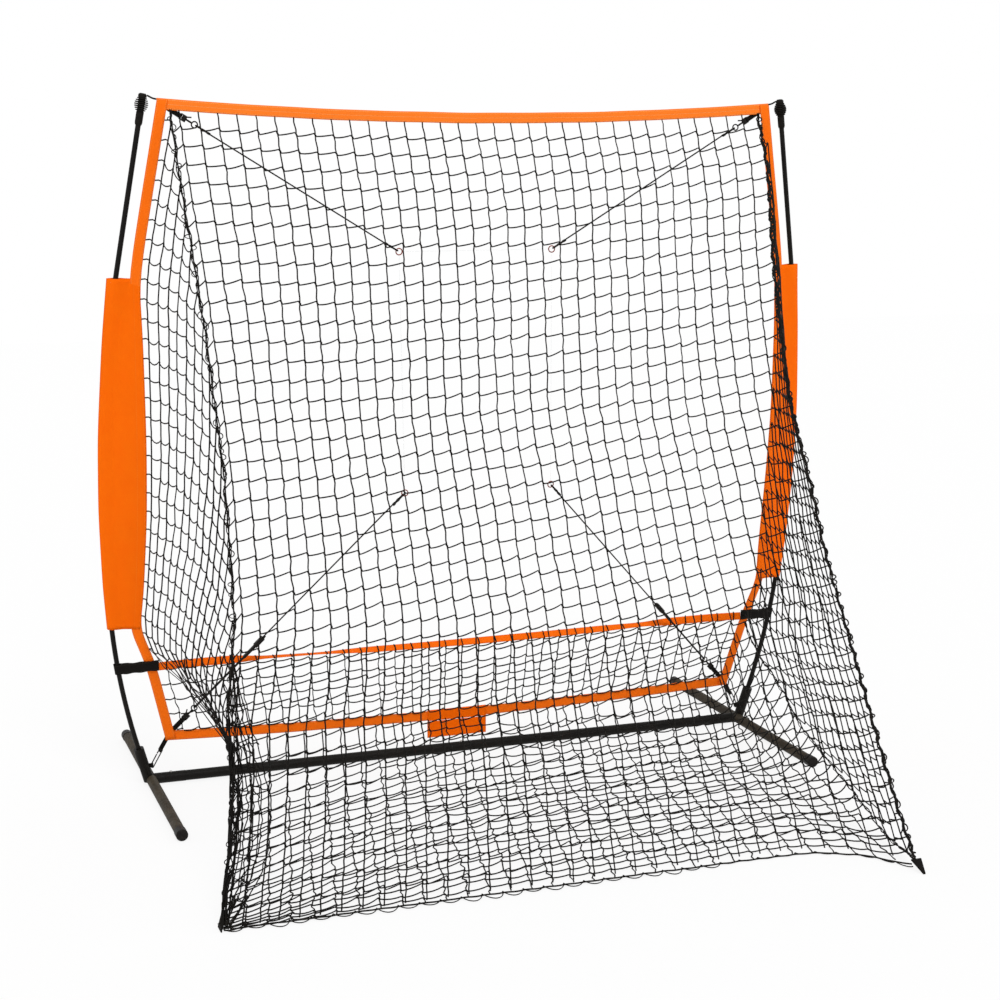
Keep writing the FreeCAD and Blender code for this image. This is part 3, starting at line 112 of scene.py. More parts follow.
def mouth_point(x: float, w: float, u: float) -> Vector:
    """Turns millimetres of the leaning mouth into the model's metres.

    Args:
        x: Distance to the right.
        w: Distance in front of the mouth's plane.
        u: Distance up along the mouth's plane.

    Returns:
        The point in metres.
    """
    y = w * math.cos(LEAN) - u * math.sin(LEAN)
    z = w * math.sin(LEAN) + u * math.cos(LEAN)
    return row_point(x, y, z)


def along(height: float) -> float:
    """Distance up the leaning mouth at a height in millimetres."""
    return height / math.cos(LEAN)


def eased(share: float) -> float:
    """Share from 0 to 1 that starts and ends gently."""
    part = min(1.0, max(0.0, share))
    return part * part * (3.0 - 2.0 * part)


def flipped(point: Vector) -> Vector:
    """The same point on the other side of the middle."""
    return Vector((-point.x, point.y, point.z))


@dataclass
class Chain:
    """A line through points that is read by the share of its length.

    Attributes:
        points: Points of the line in any unit.
        smooth: How many times its corners are rounded.
        marks: Length from the start up to each point.
    """

    points: list[Vector]
    smooth: int = 0
    marks: list[float] = field(default_factory=list)

    def __post_init__(self) -> None:
        """Cuts the spans short, rounds them and sums their lengths."""
        fine: list[Vector] = []
        for first, last in zip(self.points, self.points[1:]):
            fine += [first.lerp(last, step / SPAN_STEPS) for step in range(SPAN_STEPS)]
        fine.append(self.points[-1])
        for _ in range(self.smooth):
            middle = [(a + b * 2 + c) / 4
                      for a, b, c in zip(fine, fine[1:], fine[2:])]
            fine = [fine[0]] + middle + [fine[-1]]
        self.points = fine
        self.marks = [0.0]
        for first, last in zip(fine, fine[1:]):
            self.marks.append(self.marks[-1] + (last - first).length)

    @property
    def length(self) -> float:
        """Whole length, in the unit of its points."""
        return self.marks[-1]

    def at(self, share: float) -> Vector:
        """Point at a share of the length.

        Args:
            share: From 0 at the start to 1 at the end.

        Returns:
            The point.
        """
        reach = min(max(share, 0.0), 1.0) * self.length
        for index in range(1, len(self.marks)):
            if self.marks[index] >= reach:
                span = self.marks[index] - self.marks[index - 1]
                part = (reach - self.marks[index - 1]) / span if span > 0 else 0.0
                return self.points[index - 1].lerp(self.points[index], part)
        return self.points[-1].copy()


# Finishes


def linear(code: str) -> tuple[float, float, float, float]:
    """Turns an sRGB hex colour into linear values.

    Args:
        code: Colour such as "#FF6A00".

    Returns:
        Red, green, blue and an alpha of 1.
    """
    values = []
    for start in (1, 3, 5):
        value = int(code[start:start + 2], 16) / 255
        if value <= SRGB_KNEE:
            values.append(value / SRGB_SLOPE)
        else:
            values.append(((value + SRGB_OFFSET) / SRGB_SCALE) ** SRGB_POWER)
    return (values[0], values[1], values[2], 1.0)


def add(tree: bpy.types.NodeTree, kind: str, inputs: dict | None = None,
        **settings: object) -> bpy.types.Node:
    """Adds a node with its settings and links.

    Args:
        tree: Node tree of the material.
        kind: Type name of the node.
        inputs: Input name or number to a value, or to the output socket that
            it is linked to.
        **settings: Properties of the node.

    Returns:
        The node.
    """
    node = tree.nodes.new(kind)
    for name, value in settings.items():
        setattr(node, name, value)
    for key, value in (inputs or {}).items():
        if isinstance(value, bpy.types.NodeSocket):
            tree.links.new(value, node.inputs[key])
        else:
            node.inputs[key].default_value = value
    return node


@dataclass(frozen=True)
class Finish:
    """A surface: its colour and roughness, and the nodes that vary them."""

    name: str
    colour: str
    roughness: float
    shine: float = field(default=0.2, kw_only=True)

    def build(self) -> bpy.types.Material:
        """Makes the material.

        Returns:
            The material with its nodes.
        """
        found = bpy.data.materials.get(self.name)
        if found:
            return found
        material = bpy.data.materials.new(self.name)
        material.use_nodes = True
        material.diffuse_color = linear(self.colour)
        tree = material.node_tree
        shader = tree.nodes["Principled BSDF"]
        shader.inputs["Base Color"].default_value = linear(self.colour)
        shader.inputs["Roughness"].default_value = self.roughness
        shader.inputs["Specular IOR Level"].default_value = self.shine
        self.dress(tree, shader)
        return material

    def dress(self, tree: bpy.types.NodeTree, shader: bpy.types.Node) -> None:
        """Adds the nodes of this finish.

        Args:
            tree: Node tree of the material.
            shader: Its surface shader.
        """

    def noise(self, tree: bpy.types.NodeTree, size_mm: float, detail: float = 3.0,
              stretch: tuple[float, float, float] = (1.0, 1.0, 1.0),
              ) -> bpy.types.NodeSocket:
        """Adds a noise on object coordinates.

        Args:
            tree: Node tree of the material.
            size_mm: Size of a patch of the noise.
            detail: Finer steps in the noise.
            stretch: Scale along each axis.

        Returns:
            The output with values from 0 to 1.
        """
        place = add(tree, "ShaderNodeTexCoord").outputs["Object"]
        turned = add(tree, "ShaderNodeMapping", {"Vector": place, "Scale": stretch})
        texture = add(tree, "ShaderNodeTexNoise", {
            "Vector": turned.outputs["Vector"], "Scale": 1000.0 / size_mm,
            "Detail": detail})
        return texture.outputs["Fac"]

    def spread(self, tree: bpy.types.NodeTree, value: bpy.types.NodeSocket,
               source: tuple[float, float],
               target: tuple[float, float]) -> bpy.types.NodeSocket:
        """Maps a value from one range to another.

        Args:
            tree: Node tree of the material.
            value: Output to map.
            source: Range that is read.
            target: Range that it becomes.

        Returns:
            The mapped output.
        """
        node = add(tree, "ShaderNodeMapRange", {
            "Value": value, "From Min": source[0], "From Max": source[1],
            "To Min": target[0], "To Max": target[1]})
        return node.outputs["Result"]

    def blend(self, tree: bpy.types.NodeTree, share: bpy.types.NodeSocket,
              first: object, second: object) -> bpy.types.NodeSocket:
        """Mixes two colours.

        Args:
            tree: Node tree of the material.
            share: Share of the second colour.
            first: Colour, or an output that gives it.
            second: Colour, or an output that gives it.

        Returns:
            The mixed colour.
        """
        node = add(tree, "ShaderNodeMix", {0: share, 6: first, 7: second},
                   data_type="RGBA")
        return node.outputs[2]

    def math(self, tree: bpy.types.NodeTree, operation: str, first: object,
             second: object = 0.0) -> bpy.types.NodeSocket:
        """One step of arithmetic on outputs or numbers.

        Args:
            tree: Node tree of the material.
            operation: Name of the step.
            first: First value or output.
            second: Second value or output.

        Returns:
            The result.
        """
        return add(tree, "ShaderNodeMath", {0: first, 1: second},
                   operation=operation).outputs[0]

    def raise_surface(self, tree: bpy.types.NodeTree, shader: bpy.types.Node,
                      height: bpy.types.NodeSocket, depth_mm: float,
                      strength: float) -> None:
        """Links a height to the shader's normal.

        Args:
            tree: Node tree of the material.
            shader: Its surface shader.
            height: Output from 0 to 1.
            depth_mm: Height of 1.
            strength: Share of the effect.
        """
        bump = add(tree, "ShaderNodeBump", {
            "Height": height, "Distance": depth_mm * MM, "Strength": strength})
        tree.links.new(bump.outputs["Normal"], shader.inputs["Normal"])


@dataclass(frozen=True)
class PowderCoat(Finish):
    """Baked powder on steel tube: fine orange peel, dull scuffs and dust.

    Attributes:
        dust: Colour of the dust.
        dust_share: Share of dust where it lies thickest.
        peel_mm: Spacing of the orange peel.
        scuff_mm: Size of a scuffed or dusty patch.
        gloss_mm: Size of a patch that is glossier or duller.
        gloss_play: How far such a patch goes below and above the roughness.
    """

    dust: str = "#5A554D"
    dust_share: float = 0.55
    peel_mm: float = 1.6
    peel_depth_mm: float = 0.12
    scuff_mm: float = 45.0
    gloss_mm: float = 9.0
    gloss_play: tuple[float, float] = (0.08, 0.12)

    def dress(self, tree: bpy.types.NodeTree, shader: bpy.types.Node) -> None:
        """Adds the peel, the scuffs along the tube and the dust.

        Args:
            tree: Node tree of the material.
            shader: Its surface shader.
        """
        dust = self.spread(tree, self.noise(tree, self.scuff_mm, 6.0), (0.45, 0.8),
                           (0.0, self.dust_share))
        tree.links.new(self.blend(tree, dust, linear(self.colour), linear(self.dust)),
                       shader.inputs["Base Color"])
        below, above = self.gloss_play
        gloss = self.spread(tree, self.noise(tree, self.gloss_mm, 5.0), (0.3, 0.7),
                            (self.roughness - below, self.roughness + above))
        tree.links.new(gloss, shader.inputs["Roughness"])
        self.raise_surface(tree, shader, self.noise(tree, self.peel_mm),
                           self.peel_depth_mm, 0.5)


@dataclass(frozen=True)
class MouldedNylon(Finish):
    """Injection moulded nylon or rubber: fine spark-eroded grain, rubbed patches.

    Attributes:
        grain_mm: Spacing of the grain.
        rubbed: Colour of a rubbed patch.
        rub_mm: Size of such a patch.
    """

    grain_mm: float = 0.6
    grain_depth_mm: float = 0.08
    rubbed: str = "#2C2823"
    rub_mm: float = 6.0

    def dress(self, tree: bpy.types.NodeTree, shader: bpy.types.Node) -> None:
        """Adds the grain and the rubbed patches.

        Args:
            tree: Node tree of the material.
            shader: Its surface shader.
        """
        rub = self.spread(tree, self.noise(tree, self.rub_mm, 4.0), (0.35, 0.75),
                          (0.0, 0.35))
        tree.links.new(self.blend(tree, rub, linear(self.colour), linear(self.rubbed)),
                       shader.inputs["Base Color"])
        self.raise_surface(tree, shader, self.noise(tree, self.grain_mm, 2.0),
                           self.grain_depth_mm, 0.6)


@dataclass(frozen=True)
class PoleFilm(Finish):
    """Shrunk film on a glass fibre pole: long faint ridges of the rovings.

    Attributes:
        ridge_mm: Spacing of the ridges.
        bloom: Colour of the dull bloom on the film.
        bloom_mm: Size of a patch of it.
    """

    ridge_mm: float = 1.4
    ridge_depth_mm: float = 0.15
    bloom: str = "#211D19"
    bloom_mm: float = 70.0

    def dress(self, tree: bpy.types.NodeTree, shader: bpy.types.Node) -> None:
        """Adds ridges that run up the pole and a slight bloom.

        Args:
            tree: Node tree of the material.
            shader: Its surface shader.
        """
        ridges = self.noise(tree, self.ridge_mm, 3.0, (1.0, 1.0, 0.02))
        bloom = self.spread(tree, self.noise(tree, self.bloom_mm, 3.0), (0.4, 0.8),
                            (0.0, 0.4))
        tree.links.new(self.blend(tree, bloom, linear(self.colour), linear(self.bloom)),
                       shader.inputs["Base Color"])
        self.raise_surface(tree, shader, ridges, self.ridge_depth_mm, 0.6)


@dataclass(frozen=True)
class BareMetal(Finish):
    """Drawn or coated wire and tube: fine lines and slight tarnish.

    Attributes:
        tarnish: Colour of the tarnish.
        tarnish_mm: Size of a patch of it.
        metal: How much of the surface answers as metal.
        line_mm: Spacing of the drawing lines.
    """

    tarnish: str = "#5E5A55"
    tarnish_mm: float = 3.0
    metal: float = 0.85
    line_mm: float = 0.5
    line_depth_mm: float = 0.04

    def dress(self, tree: bpy.types.NodeTree, shader: bpy.types.Node) -> None:
        """Adds the tarnish and the drawing lines.

        Args:
            tree: Node tree of the material.
            shader: Its surface shader.
        """
        shader.inputs["Metallic"].default_value = self.metal
        share = self.spread(tree, self.noise(tree, self.tarnish_mm, 4.0), (0.4, 0.75),
                            (0.0, 0.6))
        mixed = self.blend(tree, share, linear(self.colour), linear(self.tarnish))
        tree.links.new(mixed, shader.inputs["Base Color"])
        self.raise_surface(tree, shader, self.noise(tree, self.line_mm, 2.0),
                           self.line_depth_mm, 0.5)


@dataclass(frozen=True)
class ClearLine(Finish):
    """Extruded nylon line, clear and slightly cloudy.

    Attributes:
        clear: Share of the light that it lets through.
        bending: Index of refraction of nylon.
        cover: How much of what lies behind it hides.
        cloud_mm: Size of a cloudy patch.
    """

    clear: float = 0.9
    bending: float = 1.53
    cover: float = 0.35
    cloud_mm: float = 8.0

    def dress(self, tree: bpy.types.NodeTree, shader: bpy.types.Node) -> None:
        """Lets the light through and clouds the surface.

        Args:
            tree: Node tree of the material.
            shader: Its surface shader.
        """
        shader.inputs["Transmission Weight"].default_value = self.clear
        shader.inputs["IOR"].default_value = self.bending
        shader.inputs["Alpha"].default_value = self.cover
        cloud = self.spread(tree, self.noise(tree, self.cloud_mm), (0.3, 0.7),
                            (0.05, 0.3))
        tree.links.new(cloud, shader.inputs["Roughness"])


@dataclass(frozen=True)
class Twine(Finish):
    """Braided polyester twine: short slanting plaits with a dry sheen.

    Attributes:
        plait_mm: Width of a strand of the plait, a little under half of the
            spacing at which the slanting wave repeats.
        worn: Colour of the worn fibres.
        worn_mm: Size of a worn patch.
    """

    plait_mm: float = 1.1
    plait_depth_mm: float = 0.25
    worn: str = "#3A3530"
    worn_mm: float = 30.0

    def dress(self, tree: bpy.types.NodeTree, shader: bpy.types.Node) -> None:
        """Adds the plaits and the paler worn fibres.

        Args:
            tree: Node tree of the material.
            shader: Its surface shader.
        """
        place = add(tree, "ShaderNodeTexCoord").outputs["Object"]
        plait = add(tree, "ShaderNodeTexWave", {
            "Vector": place, "Scale": 1000.0 / self.plait_mm / 20.0 * math.pi,
            "Distortion": 1.5, "Detail": 2.0}, bands_direction="DIAGONAL")
        worn = self.spread(tree, self.noise(tree, self.worn_mm, 5.0), (0.45, 0.8),
                           (0.0, 0.7))
        tree.links.new(self.blend(tree, worn, linear(self.colour), linear(self.worn)),
                       shader.inputs["Base Color"])
        self.raise_surface(tree, shader, plait.outputs["Fac"], self.plait_depth_mm, 0.8)


@dataclass(frozen=True)
class Webbing(Finish):
    """Woven polyester band. Its UV map holds metres across and along.

    Attributes:
        shade: Colour of painted shade: in the hollows of the weave, in the patches for
            soft folds and in the seam grooves.
        rib_mm: Spacing of the warp ribs across the band.
        pick_mm: Spacing of the weft picks along the band.
        fold_shade_mm: Size of a patch of painted shade that stands in for soft folds in
            the cloth.
        seams: Distances of its stitch lines from the first edge, in millimetres.
        thread: Colour of the stitching.
        thread_mm: Half the width of a stitch.
        stitch_mm: Spacing of the stitches.
        stitch_share: Share of that spacing in which the thread shows.
        groove_mm: Half the width of the groove that a seam presses in, which is lowered
            and darkened with painted shade.
    """

    shade: str = "#D95400"
    rib_mm: float = 1.5
    pick_mm: float = 1.9
    weave_depth_mm: float = 0.3
    fold_shade_mm: float = 38.0
    seams: tuple[float, ...] = ()
    thread: str = "#FFA45A"
    thread_mm: float = 0.55
    stitch_mm: float = 4.2
    stitch_share: float = 0.72
    groove_mm: float = 1.3

    def dress(self, tree: bpy.types.NodeTree, shader: bpy.types.Node) -> None:
        """Adds the weave, patches of painted shade for soft folds, and the stitch
        lines.

        Args:
            tree: Node tree of the material.
            shader: Its surface shader.
        """
        place = add(tree, "ShaderNodeTexCoord").outputs["UV"]
        split = add(tree, "ShaderNodeSeparateXYZ", {0: place})
        across, run = split.outputs[0], split.outputs[1]
        rib = self.math(tree, "SINE", self.math(
            tree, "MULTIPLY", across, 2000.0 * math.pi / self.rib_mm))
        pick = self.math(tree, "SINE", self.math(
            tree, "MULTIPLY", run, 2000.0 * math.pi / self.pick_mm))
        weave = self.spread(tree, self.math(tree, "MULTIPLY", rib, pick),
                            (-1.0, 1.0), (0.0, 1.0))
        # Patches of painted shade that stand in for soft folds, blended towards the
        # shade colour.
        fold_shade = self.spread(tree, self.noise(tree, self.fold_shade_mm, 4.0), (0.35, 0.7),
                           (0.0, 0.3))
        # The weave's hollows take the shade colour: painted shade.
        ground = self.blend(tree, weave, linear(self.shade), linear(self.colour))
        ground = self.blend(tree, fold_shade, ground, linear(self.shade))
        height = weave
        for seam in self.seams:
            gap = self.math(tree, "ABSOLUTE",
                            self.math(tree, "SUBTRACT", across, seam * MM))
            line = self.math(tree, "LESS_THAN", gap, self.thread_mm * MM)
            pace = self.math(tree, "MULTIPLY", run, 1000.0 / self.stitch_mm)
            dash = self.math(tree, "LESS_THAN", self.math(tree, "FRACT", pace),
                             self.stitch_share)
            stitch = self.math(tree, "MULTIPLY", line, dash)
            groove = self.math(tree, "LESS_THAN", gap, self.groove_mm * MM)
            # The groove is darkened towards the shade colour: painted shade.
            ground = self.blend(tree, self.math(tree, "MULTIPLY", groove, 0.35), ground,
                                linear(self.shade))
            ground = self.blend(tree, stitch, ground, linear(self.thread))
            height = self.math(tree, "SUBTRACT", height, groove)
            height = self.math(tree, "ADD", height,
                               self.math(tree, "MULTIPLY", stitch, 2.0))
        tree.links.new(ground, shader.inputs["Base Color"])
        self.raise_surface(tree, shader, height, self.weave_depth_mm, 0.6)


@dataclass(frozen=True)
class StageWhite(Finish):
    """Plain white paper of the studio, which keeps a soft shadow.

    Attributes:
        glow: Share of it that shows as plain white to the camera.
    """

    glow: float = 0.86

    def dress(self, tree: bpy.types.NodeTree, shader: bpy.types.Node) -> None:
        """Shows most of the paper as plain white to the camera.

        Args:
            tree: Node tree of the material.
            shader: Its surface shader.
        """
        rays = add(tree, "ShaderNodeLightPath")
        seen = self.math(tree, "MAXIMUM", rays.outputs["Is Camera Ray"],
                         rays.outputs["Is Glossy Ray"])
        seen = self.math(tree, "MAXIMUM", seen, rays.outputs["Is Transmission Ray"])
        share = self.math(tree, "MULTIPLY", seen, self.glow)
        white = add(tree, "ShaderNodeEmission", {
            "Color": (1.0, 1.0, 1.0, 1.0), "Strength": 1.0})
        mix = add(tree, "ShaderNodeMixShader", {
            0: share, 1: shader.outputs[0], 2: white.outputs[0]})
        tree.links.new(mix.outputs[0], tree.nodes["Material Output"].inputs["Surface"])


COAT_BAR = PowderCoat("powder_coat_satin_black", "#100E0B", 0.5, dust="#231F1A",
                      shine=0.12)
COAT_FOOT = PowderCoat("powder_coat_dusty_foot", "#352F26", 0.6, dust="#524A3C",
                       shine=0.1)
NYLON = MouldedNylon("nylon_moulded_black", "#100E0C", 0.5, shine=0.13)
RUBBER = MouldedNylon("rubber_moulded_black", "#12100D", 0.72, grain_mm=0.9, shine=0.1)
POLE = PoleFilm("pole_film_satin_black", "#0E0C0A", 0.45, shine=0.12)
SPRING = BareMetal("spring_steel_rolled", "#B5B3AE", 0.35, shine=0.5)
FERRULE = BareMetal("steel_tube_drawn", "#A9A7A2", 0.4, shine=0.5)
COPPER = BareMetal("wire_copper_coated", "#8E2A0C", 0.55, tarnish="#5A1806",
                   shine=0.3)
LINE = ClearLine("nylon_line_extruded", "#EDF1F1", 0.15)
TWINE = Twine("polyester_twine_braided", "#0F0D0B", 0.75, worn="#25211C", shine=0.12)
CORD = Twine("polyester_cord_braided", "#110F0C", 0.68, plait_mm=1.6, worn="#2A2621",
             shine=0.15)
THREAD = Twine("whipping_thread_waxed", "#0F0D0B", 0.55, plait_mm=0.8, worn="#1F1B17")
# Each webbing's shade colour is painted shade for the weave's hollows, its soft folds
# and its seam grooves.
BAND_TOP = Webbing("webbing_orange_top", "#FF8730", 0.8, shade="#FF7615",
                   seams=(3.0, 12.5, 22.0), thread="#FFA55C", shine=0.12)
BAND_SIDE = Webbing("webbing_orange_side", "#FF7814", 0.8, shade="#FB6904",
                    seams=(3.0, 22.0), thread="#FF9240", shine=0.1)
BAND_STRAP = Webbing("webbing_orange_strap", "#FF7206", 0.8, shade="#F46200", shine=0.1)
SLEEVE_CLOTH = Webbing("cloth_orange_sleeve", "#FF7707", 0.85, shade="#F95F00",
                       rib_mm=0.9, pick_mm=0.9, seams=(4.0, 22.0), thread="#FF8020",
                       shine=0.06)
FLAP_CLOTH = Webbing("cloth_orange_flap", "#FF6E00", 0.85, shade="#F86300",
                     rib_mm=0.9, pick_mm=0.9, seams=(4.0,), thread="#FF8020",
                     shine=0.06)
BLACK_WEB = Webbing("webbing_black", "#171411", 0.85, shade="#0A0807",
                    seams=(3.0, 24.0), thread="#2A2622", shine=0.12)
BLACK_TAB = Webbing("webbing_black_tab", "#161310", 0.85, shade="#0A0807",
                    seams=(2.0,), thread="#2A2622", shine=0.12)
PAPER = StageWhite("studio_paper_white", "#F2F2F2", 0.9)


# Shared ways of making a piece


def settle(obj: bpy.types.Object, body: Body, slot: Slot,
           *nodes: str) -> bpy.types.Object:
    """Lets a finished piece ride and stand for CAD nodes.

    Args:
        obj: The piece.
        body: Body that it moves with.
        slot: Not used.
        *nodes: CAD nodes that it stands for.

    Returns:
        The piece.
    """
    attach(obj, body.value)
    if nodes:
        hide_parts(*nodes)
    LOG.info("%s: %s", obj.name, body.value)
    return obj


def from_bmesh(name: str, bm: bmesh.types.BMesh, finish: Finish,
               smooth: bool = True) -> bpy.types.Object:
    """Turns a bmesh into an object at the origin.

    Args:
        name: Name of the piece.
        bm: Mesh, which is freed.
        finish: Its surface.
        smooth: Whether its faces are shaded smooth.

    Returns:
        The object.
    """
    mesh = bpy.data.meshes.new(name)
    for face in bm.faces:
        face.smooth = smooth
    bm.to_mesh(mesh)
    bm.free()
    mesh.materials.append(finish.build())
    obj = bpy.data.objects.new(name, mesh)
    bpy.context.scene.collection.objects.link(obj)
    return obj


def sheet_piece(name: str, across: int, run: int,
                place: Callable[[float, float], Vector], size: tuple[float, float],
                thick: float, finish: Finish) -> bpy.types.Object:
    """Makes a band or cloth from a grid that is laid on a surface.

    Args:
        name: Name of the piece.
        across: Faces across.
        run: Faces along.
        place: Point of the surface at a share across and a share along.
        size: Width and length in metres, which the UV map holds.
        thick: Thickness in metres.
        finish: Its surface.

    Returns:
        The object, with a live solidify modifier.
    """
    bm = bmesh.new()
    bmesh.ops.create_grid(bm, x_segments=across, y_segments=run, size=1.0)
    layer = bm.loops.layers.uv.new("UVMap")
    shares = {vert: ((vert.co.x + 1) / 2, (vert.co.y + 1) / 2) for vert in bm.verts}
    for face in bm.faces:
        for loop in face.loops:
            s, t = shares[loop.vert]
            loop[layer].uv = (s * size[0], t * size[1])
    for vert, (s, t) in shares.items():
        vert.co = place(s, t)
    obj = from_bmesh(name, bm, finish)
    shell = obj.modifiers.new("thickness", "SOLIDIFY")
    shell.thickness = thick
    shell.offset = 0.0
    shell.use_even_offset = True
    return obj


def cord_curve(name: str, points: Sequence[Vector], radius: float, finish: Finish,
               resolution: int = 3) -> bpy.types.Object:
    """Makes a round cord on one open smooth spline.

    Args:
        name: Name of the piece.
        points: Route in metres.
        radius: Radius in metres.
        finish: Its surface.
        resolution: Steps in a quarter of its roundness.

    Returns:
        The curve object.
    """
    curve = bpy.data.curves.new(name, "CURVE")
    curve.dimensions = "3D"
    curve.bevel_depth = radius
    curve.bevel_resolution = resolution
    curve.use_fill_caps = True
    spline = curve.splines.new("NURBS")
    spline.points.add(len(points) - 1)
    for item, point in zip(spline.points, points):
        item.co = (point.x, point.y, point.z, 1.0)
    spline.order_u = 3
    spline.use_endpoint_u = True
    spline.resolution_u = 6
    curve.materials.append(finish.build())
    obj = bpy.data.objects.new(name, curve)
    bpy.context.scene.collection.objects.link(obj)
    return obj


@dataclass
class TwineWork:
    """Strands and knots of one net in metres, which become one mesh."""

    name: str
    finish: Finish = TWINE
    radius: float = TWINE_RADIUS * MM
    strands: list[list[Vector]] = field(default_factory=list)
    knots: list[Matrix] = field(default_factory=list)

    def strand(self, points: list[Vector]) -> None:
        """Adds a strand through points in metres."""
        if len(points) > 1:
            self.strands.append(points)

    def knot(self, centre: Vector, run: Vector, side: Vector, length: float,
             thick: float) -> None:
        """Adds a knot.

        Args:
            centre: Its middle.
            run: Direction of its length.
            side: A direction across it.
            length: Half of its length in metres.
            thick: Half of its thickness in metres.
        """
        z = run.normalized()
        x = (side - z * side.dot(z)).normalized()
        y = z.cross(x)
        turn = Matrix((x, y, z)).transposed().to_4x4()
        self.knots.append(Matrix.Translation(centre) @ turn
                          @ Matrix.Diagonal((thick, thick, length, 1.0)))

    def build(self) -> bpy.types.Object:
        """Makes the mesh object of the strands and knots.

        Returns:
            The object.
        """
        curve = bpy.data.curves.new(self.name + "_line", "CURVE")
        curve.dimensions = "3D"
        curve.bevel_depth = self.radius
        curve.bevel_resolution = 0
        curve.use_fill_caps = True
        for points in self.strands:
            spline = curve.splines.new("POLY")
            spline.points.add(len(points) - 1)
            for item, point in zip(spline.points, points):
                item.co = (point.x, point.y, point.z, 1.0)
        line = bpy.data.objects.new(self.name + "_line", curve)
        bpy.context.scene.collection.objects.link(line)
        depsgraph = bpy.context.evaluated_depsgraph_get()
        tubes = bpy.data.meshes.new_from_object(line.evaluated_get(depsgraph))
        bm = bmesh.new()
        bm.from_mesh(tubes)
        for matrix in self.knots:
            bmesh.ops.create_icosphere(bm, subdivisions=1, radius=1.0, matrix=matrix)
        bpy.data.objects.remove(line)
        bpy.data.curves.remove(curve)
        bpy.data.meshes.remove(tubes)
        return from_bmesh(self.name, bm, self.finish)


@dataclass
class Lattice:
    """Knots of a net by row and column, from which its strands are drawn.

    Attributes:
        knots: Rows of points; None stands where the net is cut away.
        step: Half the height of the step that a cross strand makes at a knot, in
            metres.
        sag: How far a cross strand hangs between its knots, in metres.
        sway: Side sway of an upright strand between its knots, in metres.
        seed: Start of the random order.
    """

    knots: list[list[Vector | None]]
    step: float = 4.0 * MM
    sag: float = 2.6 * MM
    sway: float = 1.6 * MM
    seed: int = 1

    def around(self, row: int, column: int, down: bool) -> Vector:
        """Direction at a knot, down the net or across it.

        Args:
            row: Row of the knot.
            column: Column of the knot.
            down: True for down, False for across.

        Returns:
            The direction, of length 1.
        """
        here = self.knots[row][column]
        ahead = self.look(row + down, column + (not down))
        behind = self.look(row - down, column - (not down))
        run = (ahead or here) - (behind or here)
        if run.length < 1e-6:
            run = Vector((0, 0, -1)) if down else Vector((1, 0, 0))
        return run.normalized()

    def look(self, row: int, column: int) -> Vector | None:
        """Finds a knot.

        Args:
            row: Row of the knot.
            column: Column of the knot.

        Returns:
            The knot, or None outside the net.
        """
        if 0 <= row < len(self.knots) and 0 <= column < len(self.knots[row]):
            return self.knots[row][column]
        return None

    def draw(self, work: TwineWork, first: int = 0, last: int = 0) -> None:
        """Adds the net's strands and knots to a piece of twine work.

        Args:
            work: Piece that takes them.
            first: First row that has a cross strand and knots.
            last: How many of the last rows have none.
        """
        chance = random.Random(self.seed)
        rows = len(self.knots) - last
        columns = max(len(row) for row in self.knots)
        for row in range(first, rows):
            self.draw_cross(work, row, chance)
        for column in range(columns):
            self.draw_upright(work, column, chance)
        for row in range(first, rows):
            for column in range(len(self.knots[row])):
                here = self.knots[row][column]
                if here is None:
                    continue
                down = self.around(row, column, True)
                right = self.around(row, column, False)
                slant = down * -0.9 - right * chance.uniform(0.35, 0.9)
                work.knot(here, slant, right, chance.uniform(3.6, 5.0) * MM,
                          chance.uniform(2.0, 2.5) * MM)

    def draw_cross(self, work: TwineWork, row: int, chance: random.Random) -> None:
        """Draws one row: it hangs between knots and steps down at each one.

        Args:
            work: Piece that takes its strands.
            row: Number of the row.
            chance: Source of its play.
        """
        line: list[Vector] = []
        for column in range(len(self.knots[row])):
            here = self.look(row, column)
            ahead = self.look(row, column + 1)
            if here is None or ahead is None:
                work.strand(line + ([here] if here else []))
                line = []
                continue
            span = (ahead - here).length
            ease = min(1.0, span / (MESH_PITCH * MM))
            up = -(self.around(row, column, True)
                   + self.around(row, column + 1, True))
            up.normalize()
            step = self.step * ease * chance.uniform(0.6, 1.3)
            sag = self.sag * ease * chance.uniform(0.5, 1.7)
            for share in (0.07, 0.28, 0.5, 0.74, 0.93):
                lift = step * (2 * share - 1) - sag * 4 * share * (1 - share)
                line.append(here.lerp(ahead, share) + up * lift)
        work.strand(line)

    def draw_upright(self, work: TwineWork, column: int,
                     chance: random.Random) -> None:
        """Draws one column, which runs nearly straight from knot to knot.

        Args:
            work: Piece that takes its strands.
            column: Number of the column.
            chance: Source of its play.
        """
        line: list[Vector] = []
        for row in range(len(self.knots)):
            here = self.look(row, column)
            if here is None:
                work.strand(line)
                line = []
                continue
            line.append(here)
            below = self.look(row + 1, column)
            if below is None:
                continue
            side = self.around(row, column, False)
            ease = min(1.0, (below - here).length / (MESH_PITCH * MM))
            sway = self.sway * ease * chance.uniform(-1.0, 1.0)
            line.append(here.lerp(below, 0.3) + side * sway)
            line.append(here.lerp(below, 0.72) - side * sway * 0.7)
        work.strand(line)


@dataclass
class Patch:
    """Surface between four chains: left and right, top and bottom."""

    left: Chain
    right: Chain
    top: Chain
    bottom: Chain

    def at(self, s: float, t: float) -> Vector:
        """Point of the surface.

        Args:
            s: Share to the right.
            t: Share down.

        Returns:
            The point.
        """
        sides = self.left.at(t).lerp(self.right.at(t), s)
        ends = self.top.at(s).lerp(self.bottom.at(s), t)
        upper = self.top.at(0).lerp(self.top.at(1), s)
        lower = self.bottom.at(0).lerp(self.bottom.at(1), s)
        return sides + ends - upper.lerp(lower, t)


# Sub-assemblies


